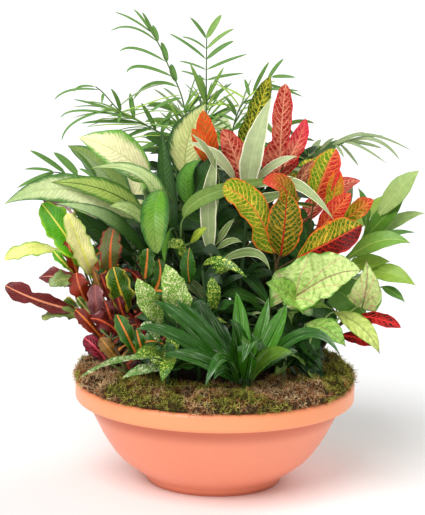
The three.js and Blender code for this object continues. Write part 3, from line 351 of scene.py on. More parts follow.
class LeafPaint(Paint):  # a leaf's material, which knows where each point lies on its blade
    def __init__(self, name, form):
        super().__init__(name + "Leaf", Roughness=form["rough"], Coat_Weight=form.get("coat", 0),
                         Specular_IOR_Level=form.get("gloss", leafMarks["gloss"]),
                         Coat_Roughness=leafMarks["coatRough"])
        self.form = form
        self.main, self.vein, self.rib, self.rim = (self.attribute(part, "Color") for part in leafParts)
        # distances from the base and the midrib in millimetres, then shares of the length and the half width
        self.along, self.across, self.seed = self.split(self.attribute("blade", "Vector"))
        self.share, self.side, self.under = self.split(self.attribute("spread", "Vector"))
        self.away = abs(self.across)
        self.place = self.spot(1, 1)
        self.broad, self.rough, self.fine = (self.noise(self.place, *size) for size in leafMarks["noises"])
        self.line = self.veinLine()
        self.ridge = self.between(self.line)

    def spot(self, along, across):  # a place on the blade, different on each leaf
        return self.join(self.along * along, self.across * across, self.seed * leafMarks["seedStep"])

    def veinLine(self):  # side veins lean away from the midrib, left and right by turns, and bend
        form, marks = self.form, leafMarks["veins"]
        sway = (self.rough - 0.5) * form["uneven"]
        if "lean" not in form:
            return self.across / form["veinEvery"] + sway
        bent = self.along - self.away * form["lean"] - self.side * self.side * form["bend"]
        hand = self.across.smooth(*marks["handEnds"]) * marks["hand"]
        return bent / form["veinEvery"] + hand + sway + (self.broad - 0.5) * 2 * form["uneven"]

    def between(self, line):  # 0 on a line, 1 midway to the next
        return abs(line.part() - 0.5) * 2

    def veinWide(self):
        marks = leafMarks["veins"]
        narrowing = marks["atRib"] - self.side * marks["thins"]
        return self.form["veinWide"] * narrowing * (self.broad * marks["varies"] + marks["least"])

    def veins(self):
        marks = leafMarks["veins"]
        drawn = 1 - (self.ridge / self.veinWide()).smooth(*marks["ends"])
        return drawn * (1 - self.side * marks["fades"])

    def midrib(self):
        marks, wide = leafMarks["midrib"], self.form["ribWide"]
        narrowing = marks["atBase"] - self.share * marks["thins"]
        return 1 - (self.away / narrowing).smooth(wide * marks["soft"], wide)

    def margin(self):  # the margin's colour runs in along the side veins
        marks = leafMarks["margin"]
        away, seed = self.away * marks["across"], self.seed * marks["seedStep"]
        streaks = self.noise(self.join(self.line * marks["line"], away, seed), *marks["noise"])
        return (self.side + (streaks - 0.5) * self.form["ragged"]).smooth(*self.form["rim"])

    def flecks(self, kind):  # patches of a noise, as much as the leaf's form says
        marks = leafMarks[kind]
        return self.noise(self.place, *marks["noise"]).smooth(*marks["ends"]) * self.form.get(kind, 0)

    def pools(self):  # the veins' colour spreads in pools near the midrib
        marks = leafMarks["pools"]
        deep = self.broad + (self.rough - 0.5) * marks["uneven"] + (1 - self.side) * marks["nearRib"]
        return deep.smooth(*marks["ends"]) * self.form["pools"]

    def net(self, colour):  # fine veins join the side veins
        marks = leafMarks["net"]
        edges = self.cells(self.spot(1, marks["squeeze"]), 1 / self.form["net"], "DISTANCE_TO_EDGE")
        colour = self.mix((1 - edges.smooth(*marks["ends"])) * marks["share"], colour, self.vein)
        lines = 1 - (self.between(self.line * 2) / self.veinWide()).smooth(*marks["lineEnds"])
        return self.mix(lines * marks["lineShare"], colour, self.vein)

    def fan(self):  # veins that fan out from the top of the petiole
        marks, step = leafMarks["fan"], self.form["fan"]
        turned = self.away.angle(self.along + marks["centre"]) / step + (self.rough - 0.5) * marks["uneven"]
        spread = self.between(turned) * (self.away + self.along + marks["centre"]) * step * marks["wide"]
        drawn = 1 - spread.smooth(*marks["ends"])
        return drawn * (self.away * marks["out"]).smooth(*marks["outEnds"]) * marks["share"]

    def dots(self, margin):  # crowded dots and splashes, fewer towards the margin
        marks, splashes = leafMarks["dots"], leafMarks["splash"]
        cells = self.cells(self.place, 1 / self.form["dots"])
        crowd = self.noise(self.place, *marks["crowdNoise"]).smooth(*marks["crowdEnds"])
        spots = 1 - (cells + (self.fine - 0.5) * marks["uneven"]).smooth(*marks["ends"])
        dots = spots * (crowd * (1 - marks["fewest"]) + marks["fewest"])
        splash = self.noise(self.place, *splashes["noise"]).smooth(*splashes["ends"])
        splash = splash * (crowd * (1 - splashes["fewest"]) + splashes["fewest"])
        return (dots + splash).atMost(1) * (1 - margin * marks["rimHides"])

    def paintedSheen(self, colour):  # painted highlight: pale streaks along the blade that stand in for gloss
        marks = leafMarks["paintedSheen"]
        streak = self.noise(self.spot(marks["along"], marks["across"]), *marks["noise"])
        share = streak.smooth(*marks["ends"]) * self.side.smooth(*marks["rimEnds"]) * self.form["paintedSheen"]
        return self.mix(share, colour, rgb(*marks["colour"]))

    def darkEdge(self, colour):  # a dark line round the blade
        marks = leafMarks["edge"]
        dark = self.mix(marks["share"], self.rim, rgb(*marks["dark"]))
        return self.mix(self.side.smooth(*marks["ends"]) * self.form["edge"], colour, dark)


def leafFinish(name, form):
    leaf = LeafPaint(name, form)
    margin, midrib = leaf.margin(), leaf.midrib()
    colour = leaf.mix(leaf.flecks("blotch"), leaf.main, leaf.vein)
    if "pools" in form:
        colour = leaf.mix(leaf.pools(), colour, leaf.vein)
    if "net" in form:
        colour = leaf.net(colour)
    if "mottle" in form:
        colour = leaf.mix(leaf.flecks("mottle"), colour, leaf.vein)
        colour = leaf.mix(leaf.fan(), colour, leaf.rib)
    elif "dots" not in form:
        colour = leaf.mix(leaf.veins(), colour, leaf.vein)
    colour = leaf.mix(margin, colour, leaf.rim)
    if "dots" in form:
        colour = leaf.mix(leaf.dots(margin), colour, leaf.vein)
    # painted highlight: pale streaks along the blade
    if "paintedSheen" in form:
        colour = leaf.paintedSheen(colour)
    if "edge" in form:
        colour = leaf.darkEdge(colour)
    lit, under, rough, bump = (leafMarks[name] for name in ("lit", "under", "rough", "bump"))
    colour = leaf.shaded(leaf.mix(midrib, colour, leaf.rib),
                         leaf.rough * lit["rough"] + leaf.fine * lit["fine"] + lit["least"])
    paler = leaf.mix(under["paler"], colour, leaf.mix(under["rim"], leaf.rib, leaf.rim))
    leaf.feed("Base Color", leaf.mix(leaf.under * under["share"], colour, paler))
    unevenly = (leaf.fine - 0.5) * rough["fine"] + (leaf.rough - 0.5) * rough["rough"]
    leaf.feed("Roughness", unevenly + leaf.under * under["rough"] + form["rough"])
    height = leaf.ridge.smooth(*bump["ridgeEnds"]) * bump["ridge"] + midrib * bump["midrib"]
    height = height + leaf.rough * bump["rough"] + leaf.broad * bump["broad"] + leaf.fine * bump["fine"]
    leaf.bump(height, form["relief"], bump["deep"])
    return leaf.material


leafMaterials = {name: leafFinish(name, form) for name, form in leafFinishes.items()}
print("leaf finishes", len(leafMaterials))


# Leaf forms: the outline and folds of each kind. Each outline gives half the width for a share of the length.

def swell(t, peak, fullness, most=1):
    t = np.clip(t, 0, 1)
    return most * (t / peak) ** (fullness * peak) * ((1 - t) / (1 - peak)) ** (fullness * (1 - peak))


def fingered(t):  # a waist parts the blade from a narrow finger
    return np.maximum(np.where(t < 0.5, swell(t * 2, 0.42, 2.2), 0), swell(t, 0.64, 1.7, 0.54))


def lobed(t):  # a slight waist, and a broad upper half
    return np.maximum(np.where(t < 0.5, swell(t * 2, 0.42, 2.2), 0), swell(t, 0.64, 1.3, 0.84))


def waisted(t):  # a strap with a waist and a round end
    bulb = np.sqrt(np.clip(1 - ((t - 0.79) / 0.21) ** 2, 0, 1))
    return np.maximum(bulb, np.where(t < 0.72, swell(t / 0.72, 0.5, 1.6, 0.95), 0))


# The solid's blade has its sections at these shares of the length; a swell is its peak, fullness and height.
leafForms = {
    "dumbCane": {"at": (0.16, 0.43, 0.75), "swell": (0.4, 1.9), "lift": 0.16, "stalk": 2.4, "ruffle": 0.05,
        "grid": (22, 12)},
    "hangingCane": {"at": (0.16, 0.43, 0.75), "swell": (0.52, 1.4), "lift": 0.4, "stalk": 2.4,
        "ruffle": 0.06, "grid": (24, 12)},
    "ribbon": {"at": (0.25, 0.62), "swell": (0.4, 1.7), "lift": 0.25, "stalk": 1.8, "ruffle": 0.04,
        "grid": (22, 8)},
    "whiteEdged": {"at": (0.25, 0.62), "swell": (0.4, 1.8), "lift": 0.25, "stalk": 1.6, "ruffle": 0.07,
        "grid": (24, 8)},
    "broadCroton": {"at": (0.16, 0.45, 0.78), "swell": (0.5, 1.5), "lift": 0.2, "wave": 0.12, "stalk": 1.8,
        "ruffle": 0.08, "grid": (22, 10)},
    "fingerCroton": {"at": (0.12, 0.26, 0.42, 0.68, 0.9), "half": fingered, "lift": 0.14, "wave": 0.06,
        "stalk": 1.8, "ruffle": 0.09, "grid": (32, 12)},
    "lobedCroton": {"at": (0.12, 0.26, 0.42, 0.68, 0.9), "half": lobed, "lift": 0.14, "wave": 0.06,
        "stalk": 1.8, "ruffle": 0.08, "grid": (32, 12)},
    "curlyCroton": {"at": (0.28, 0.7), "swell": (0.56, 1.1), "lift": 0.12, "wave": 0.38, "stalk": 1.6,
        "ruffle": 0.24, "grid": (26, 8)},
    "waistCroton": {"at": (0.28, 0.7), "half": waisted, "lift": 0.16, "wave": 0.14, "stalk": 1.6,
        "ruffle": 0.14, "grid": (34, 10)},
    "speckled": {"at": (0.25, 0.65), "swell": (0.45, 1.7), "lift": 0.12, "wave": 0.12, "stalk": 1.6,
        "ruffle": 0.15, "grid": (22, 8)},
    "strap": {"at": (0.3, 0.68), "swell": (0.4, 1.75, 0.95), "lift": 0.6, "stalk": 2.4, "ruffle": 0.03,
        "crease": 0.95, "grid": (22, 8)},
    "arrow": {"at": (0.07, 0.3, 0.64), "swell": (0.16, 1.8), "lift": 0.12, "sweep": 0.34, "stalk": 1.8,
        "ruffle": 0.08, "grid": (26, 14)},
    "wideArrow": {"at": (0.07, 0.3, 0.64), "swell": (0.27, 1.4), "lift": 0.24, "sweep": 0.3, "cup": 0.45,
        "uneven": -0.16, "stalk": 1.8, "ruffle": 0.11, "grid": (36, 24)},
    "lily": {"at": (0.22, 0.6), "swell": (0.42, 2.3), "lift": 0.18, "stalk": 1.8, "ruffle": 0.04,
        "grid": (22, 10)},
    "leaflet": {"at": (0.4,), "swell": (0.42, 1.1), "lift": 0.3, "stalk": 0, "grid": (10, 4)},
    "longLeaflet": {"at": (0.3, 0.7), "swell": (0.4, 1.0), "lift": 0.3, "stalk": 0, "grid": (14, 4)},
}
bladeRules = {  # what every blade has in common
    "thick": 0.55, "ribThick": 1.2, "ribWide": 1.5, "dip": 0.35, "dipWide": 1.6, "crease": 1.3,
    "narrow": 20, "narrowLift": 0.5, "shortWave": 0.2, "crowd": 1.15, "least": 0.12, "stalkShare": 0.55,
    "turn": 6.28, "draws": ((0, 6.28), (0, 6.28), (-1, 1)),  # phases of ruffle and nicks, and a lean
    "ragged": {"times": 23, "share": 0.35, "hand": 2}, "nicks": {"times": 41, "share": 0.3},
    "frill": {"times": 2.4, "lean": 0.5, "hand": 1.6}, "sweep": {"power": 1.2, "lopsided": 1.6, "back": 0.05},
}
leafRules = {
    "reachOut": 2.2,  # how much further out from its base a leaf leans than the front view shows
    "faceFront": (0, -0.8, 0.6), "tipAt": 0.97,
    "shifts": (0, -4, 4, -8, 8, -12, 12, -16, 16, -20, 20, -25, 25, -30, 30, -36, 36, -42, 42, -50, 50),
    "baseShift": 0.4, "crestShift": 0.6,
}
eye = Vector([round(length / mm) for length in view["place"]])  # the camera's place in millimetres


def sighted(x, z, depth):  # a point of the front view, slid along its line of sight to a depth
    return eye + (Vector((x, 0, z)) - eye) * (depth - eye.y) / -eye.y


def unit(vectors):
    return vectors / np.maximum(np.linalg.norm(vectors, axis=-1, keepdims=True), 1e-9)


def ribPoints(base, crest, tip, t):  # the midrib runs from base to tip and passes through the crest
    base, crest, tip = (np.array(tuple(point)) for point in (base, crest, tip))
    pull = 2 * crest - (base + tip) / 2
    t = np.asarray(t)[:, None]
    return (1 - t) ** 2 * base + 2 * t * (1 - t) * pull + t ** 2 * tip


tubeRules = {  # a direction that no stem runs in, and what a stalk's finish takes for its place on a blade
    "clear": (0.13, 0.98, 0.05), "step": 4.0, "out": 60.0, "seed": 0.5, "spread": (0.5, 0.3, 0),
}


def smoothPiece(name, mesh, sharpest=None):  # edges past the sharpest angle, in degrees, stay sharp
    mesh.polygons.foreach_set("use_smooth", [True] * len(mesh.polygons))
    if sharpest:
        mesh.set_sharp_from_angle(angle=math.radians(sharpest))
    made = bpy.data.objects.new(name, mesh)
    bpy.context.scene.collection.objects.link(made)
    return made


class Growth:  # gathers the stems and leaves that make up one piece
    def __init__(self):
        self.count, self.points, self.faces = 0, [], []
        self.fields = {name: [] for name in leafParts + ("blade", "spread")}

    def add(self, points, faces, colours, blade, spread):
        points = np.asarray(points, float).reshape(-1, 3)
        self.points.append(points)
        self.faces += [tuple(corner + self.count for corner in face) for face in faces]
        self.count += len(points)
        for k, name in enumerate(leafParts):
            self.fields[name].append(np.broadcast_to(colours[..., k, :], (len(points), 4)))
        self.fields["blade"].append(np.broadcast_to(blade, (len(points), 3)))
        self.fields["spread"].append(np.broadcast_to(spread, (len(points), 3)))

    def tube(self, path, radii, look, sides=8):  # path in millimetres, closed at both ends
        path = np.array([tuple(p) for p in path])
        radii = np.broadcast_to(radii, (len(path),))
        along = unit(np.gradient(path, axis=0))
        across = unit(np.cross(along, tubeRules["clear"]))
        up = np.cross(across, along)
        turn = np.linspace(0, 2 * math.pi, sides, endpoint=False)
        ring = across[:, None] * np.cos(turn)[:, None] + up[:, None] * np.sin(turn)[:, None]
        points = (path[:, None] + ring * radii[:, None, None]).reshape(-1, 3)
        faces = []
        for i in range(len(path) - 1):
            for k in range(sides):
                a, b = i * sides + k, i * sides + (k + 1) % sides
                faces.append((a, a + sides, b + sides, b))
        last = (len(path) - 1) * sides
        faces += [tuple(range(sides)), tuple(last + k for k in reversed(range(sides)))]
        length = np.repeat(np.arange(len(path)) * tubeRules["step"], sides)
        out, seed = (np.full(len(points), tubeRules[name]) for name in ("out", "seed"))
        self.add(points, faces, linearLooks[look], np.stack([length, out, seed], 1), tubeRules["spread"])

    def piece(self, name, material, slot, *nodes):
        mesh = bpy.data.meshes.new(name)
        mesh.from_pydata(np.concatenate(self.points) * mm, [], self.faces)
        for field, rows in self.fields.items():
            kind, values = ("FLOAT_COLOR", "color") if field in leafParts else ("FLOAT_VECTOR", "vector")
            flat = np.concatenate(rows).astype(np.float32).ravel()
            mesh.attributes.new(field, kind, "POINT").data.foreach_set(values, flat)
        mesh.materials.append(material)
        made = smoothPiece(name, mesh, 70)
        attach(made, "root")
        if nodes:
            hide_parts(*nodes)
        return made


lookBlend = {"steep": 1.8, "start": 0.6, "half": -0.02}  # where one look gives way to another on a blade


def blendLooks(look, t, side):  # "a>b" goes from a at the base to b at the tip, "a|b" from left to right
    first, _, second = look.partition(">" if ">" in look else "|")
    if not second:
        return np.broadcast_to(linearLooks[first], t.shape + (4, 4))
    if ">" in look:
        share = np.clip(t * lookBlend["steep"] - lookBlend["start"], 0, 1)
    else:
        share = (side > lookBlend["half"]) * 1.0
    share = share[..., None, None]
    return linearLooks[first] * (1 - share) + linearLooks[second] * share


def lay(axis, amount):  # moves each point of a blade along its row's axis
    return axis[:, None] * amount[..., None]


def bladeAxes(rib, leaf, t):  # along the midrib, across the blade and out of its face
    along = unit(np.gradient(rib, axis=0))
    across = unit(np.cross(along, leaf["face"]))
    angle = np.radians(leaf["turn"] + leaf.get("twist", 0) * t)[:, None]
    across = across * np.cos(angle) + np.cross(along, across) * np.sin(angle)
    return along, across, unit(np.cross(across, along))


def bladeHalf(leaf, share, out, phase, roll):  # half the width, with a slightly ragged outline
    form, ragged, nicks = leaf["form"], bladeRules["ragged"], bladeRules["nicks"]
    ruffle, hand = form.get("ruffle", 0), np.sign(out)
    stalk = form["stalk"] * bladeRules["stalkShare"] * (1 - share) ** 3
    outline = form["half"](share) if "half" in form else swell(share, *form["swell"])
    half = np.maximum(leaf["width"] / 2 * outline, stalk + bladeRules["least"])
    wavy = ragged["share"] * ruffle * np.sin(ragged["times"] * share + phase + ragged["hand"] * hand)
    nicked = nicks["share"] * ruffle * np.sin(nicks["times"] * share + roll)
    return half * (1 + wavy + nicked) * (1 + form.get("uneven", 0) * hand)


def bladeRise(leaf, share, out, half, swing, phase, lean):  # how far each point stands out of the flat
    form, frill = leaf["form"], bladeRules["frill"]
    edge = np.abs(out)
    lift = form["lift"] * (bladeRules["narrowLift"] if leaf["width"] < bladeRules["narrow"] else 1)
    fold = half * lift * edge ** form.get("crease", bladeRules["crease"])
    # the blade waves as its coarse solid does, and its edge is ruffled more finely
    first, second = form["at"][0], form["at"][min(1, len(form["at"]) - 1)]
    waving = np.cos(math.pi * (share - first) / max(second - first, bladeRules["shortWave"]))
    wave = half * form.get("wave", 0) * out * waving * swing
    times = bladeRules["turn"] * (frill["times"] * share + frill["lean"] * lean)
    ruffle = half * form.get("ruffle", 0) * edge ** 2 * np.sin(times + phase + frill["hand"] * out)
    dip = bladeRules["dip"] * np.exp(-(out * half / bladeRules["dipWide"]) ** 2)
    return fold + wave + ruffle - dip


def bladeSweep(form, share, out, length):  # how far the lobes of an arrow-shaped leaf reach back
    if "sweep" not in form:
        return np.zeros(share.shape)
    rules, edge = bladeRules["sweep"], np.abs(out)
    lobes = edge ** rules["power"] * form["sweep"] * length * (1 - share) ** 3
    lobes = lobes * (1 + rules["lopsided"] * form.get("uneven", 0) * np.sign(out))
    return lobes + edge ** 2 * rules["back"] * length * (share < 0.01)


def growBlade(growth, ends, leaf, longStalk=False):
    form = leaf["form"]
    rows, columns = form["grid"]
    t = np.linspace(0, 1, rows + 1)
    rib = ribPoints(*ends, t)
    length = np.linalg.norm(np.diff(rib, axis=0), axis=1).sum()
    along, across, up = bladeAxes(rib, leaf, t)
    side = np.linspace(-1, 1, columns + 1)
    side = np.sign(side) * np.abs(side) ** bladeRules["crowd"]
    share, out = np.meshgrid(t, side, indexing="ij")
    draw = random.Random(leaf["seed"])
    phase, roll, lean = (draw.uniform(*limits) for limits in bladeRules["draws"])
    half = bladeHalf(leaf, share, out, phase, roll)
    rise = bladeRise(leaf, share, out, half, -1 if longStalk else 1, phase, lean)
    sweep = bladeSweep(form, share, out, length)
    middle = rib[:, None] + lay(across, out * half) - lay(along, sweep)
    middle = middle + lay(up, rise + form.get("cup", 0) * sweep)

    # two layers of points that share the blade's edge
    inner = np.zeros(share.shape, bool)
    inner[1:-1, 1:-1] = True
    atRib = np.exp(-(out * half / bladeRules["ribWide"]) ** 2)
    thick = inner * bladeRules["thick"] / 2 * (1 + bladeRules["ribThick"] * atRib)
    top, below = middle + lay(up, thick), middle - lay(up, thick)
    upper = np.arange(inner.size).reshape(inner.shape)
    lower = upper.copy()
    lower[inner] = inner.size + np.arange(inner.sum())
    faces = []
    for i in range(rows):
        for j in range(columns):
            faces.append((upper[i, j], upper[i, j + 1], upper[i + 1, j + 1], upper[i + 1, j]))
            faces.append((lower[i + 1, j], lower[i + 1, j + 1], lower[i, j + 1], lower[i, j]))

    def layers(above, under):
        return np.concatenate([above.reshape(-1, *above.shape[2:]), under[inner]])

    colours = blendLooks(leaf["look"], share, out)
    blade = np.stack([share * length, out * half, np.full(share.shape, leaf["seed"] % 97 / 97)], -1)
    spread = [np.stack([share, np.abs(out), np.full(share.shape, layer)], -1) for layer in (0, 1)]
    growth.add(layers(top, below), faces, layers(colours, colours), layers(blade, blade), layers(*spread))


# Stems: a smooth curve through the same points as the solid stem

soilTop = 160
stemForm = {  # the foot stands straight in the soil's hole; above it the stem thins, with thicker joints
    "curveFrom": 154, "foot": (100, 120, 140, 150, soilTop), "footShare": 0.98, "taper": 0.85, "thick": 1.08,
    "thins": 0.4, "joint": 1.12, "jointEvery": 6, "steps": 48, "between": 24,
}
stalkForm = {  # a leaf stalk leaves its stem below the blade and bends into the midrib
    "drops": (0, 24, -18, 50), "slope": 0.6, "away": 0.4, "probes": (0.3, 0.5, 0.7), "long": 0.25,
    "shortest": 2, "bow": 0.3, "mostBow": 18, "inStem": 1.5, "out": 0.33, "inBlade": 3, "steps": 8,
    "sides": 6, "thick": 0.62, "ends": (1.25, 0.75),
}


def stemCurve(root, path, steps=stemForm["steps"]):
    points = [Vector((*root, stemForm["curveFrom"]))] + [Vector(p) for p in path]
    points = [2 * points[0] - points[1]] + points + [2 * points[-1] - points[-2]]
    curve = []
    for a, b, c, d in zip(points, points[1:], points[2:], points[3:]):
        gaps = [max((q - p).length ** 0.5, 1e-3) for p, q in ((a, b), (b, c), (c, d))]
        leave = ((b - a) / gaps[0] - (c - a) / (gaps[0] + gaps[1]) + (c - b) / gaps[1]) * gaps[1]
        arrive = ((c - b) / gaps[1] - (d - b) / (gaps[1] + gaps[2]) + (d - c) / gaps[2]) * gaps[1]
        for k in range(stemForm["between"]):
            t = k / stemForm["between"]
            curve.append(b * (2 * t ** 3 - 3 * t ** 2 + 1) + leave * (t ** 3 - 2 * t ** 2 + t)
                         + c * (3 * t ** 2 - 2 * t ** 3) + arrive * (t ** 3 - t ** 2))
    curve.append(points[-2])
    lengths = np.cumsum([0] + [(q - p).length for p, q in zip(curve, curve[1:])])
    evenly = np.linspace(0, lengths[-1], steps + 1)
    flat = np.array([tuple(p) for p in curve])
    return [Vector(p) for p in np.stack([np.interp(evenly, lengths, flat[:, k]) for k in range(3)], 1)]


def growStem(growth, root, curve, radius, look):
    growth.tube([(*root, z) for z in stemForm["foot"]], radius * stemForm["footShare"], look)
    thick = radius * stemForm["taper"]
    rings = []
    for i in range(len(curve)):
        joint = 1 if i % stemForm["jointEvery"] else stemForm["joint"]
        rings.append(thick * (stemForm["thick"] - stemForm["thins"] * i / len(curve)) * joint)
    growth.tube(curve, rings, look)


cadTrees = {}


def cadTree(node):
    if node not in cadTrees:
        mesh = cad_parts[node].data
        corners = [vertex.co for vertex in mesh.vertices]
        cadTrees[node] = BVHTree.FromPolygons(corners, [face.vertices for face in mesh.polygons])
    return cadTrees[node]


def offNode(node, points):  # how far points lie from the node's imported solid, in all
    return sum(cadTree(node).find_nearest(Vector(p) * mm)[3] for p in points)


def settledEnds(node, form, choices):  # the leaf stands where its solid was bent clear of the others
    t = [*form["at"], leafRules["tipAt"]]
    return min(choices, key=lambda ends: offNode(node, ribPoints(*ends, t)))


def stalkStart(curve, base, drop):
    def miss(point):
        away = math.hypot(point.x - base.x, point.y - base.y)
        return abs(base.z - stalkForm["slope"] * away - drop - point.z) + stalkForm["away"] * away
    return min(curve, key=miss)


def bezier(way, t):
    a, b, c, d = way
    return a * (1 - t) ** 3 + b * 3 * t * (1 - t) ** 2 + c * 3 * t ** 2 * (1 - t) + d * t ** 3


def growStalk(growth, start, base, crest, leaf, look):
    reach = (base - start).length
    toBlade = (crest - base).normalized()
    bow = min(reach * stalkForm["bow"], stalkForm["mostBow"])
    out = (base - start).normalized()
    way = [start - out * stalkForm["inStem"], start + out * reach * stalkForm["out"],
           base - toBlade * bow, base + toBlade * stalkForm["inBlade"]]
    steps = stalkForm["steps"]
    path = [bezier(way, k / steps) for k in range(steps + 1)]
    first, last = (leaf["form"]["stalk"] * stalkForm["thick"] * end for end in stalkForm["ends"])
    growth.tube(path, np.linspace(first, last, steps + 1), look, stalkForm["sides"])


def growLeaf(growth, node, curve, choices, leaf, stalkLook):
    base, crest, tip = settledEnds(node, leaf["form"], choices)
    starts = [stalkStart(curve, base, drop) for drop in stalkForm["drops"]]
    start = min(starts, key=lambda s: offNode(node, [s.lerp(base, share) for share in stalkForm["probes"]]))
    reach = (base - start).length
    if reach > stalkForm["shortest"]:
        growStalk(growth, start, base, crest, leaf, stalkLook)
    growBlade(growth, (base, crest, tip), leaf, reach > stalkForm["long"] * (tip - base).length)


# The planting: a look for each leaf, with another form than the plant's own after a space, then its base,
# crest and tip as x, z and depth, and its width, turn and twist. The places are as the front view shows them
# in the plane of the bowl's axis, and each slides along its line of sight to its depth.

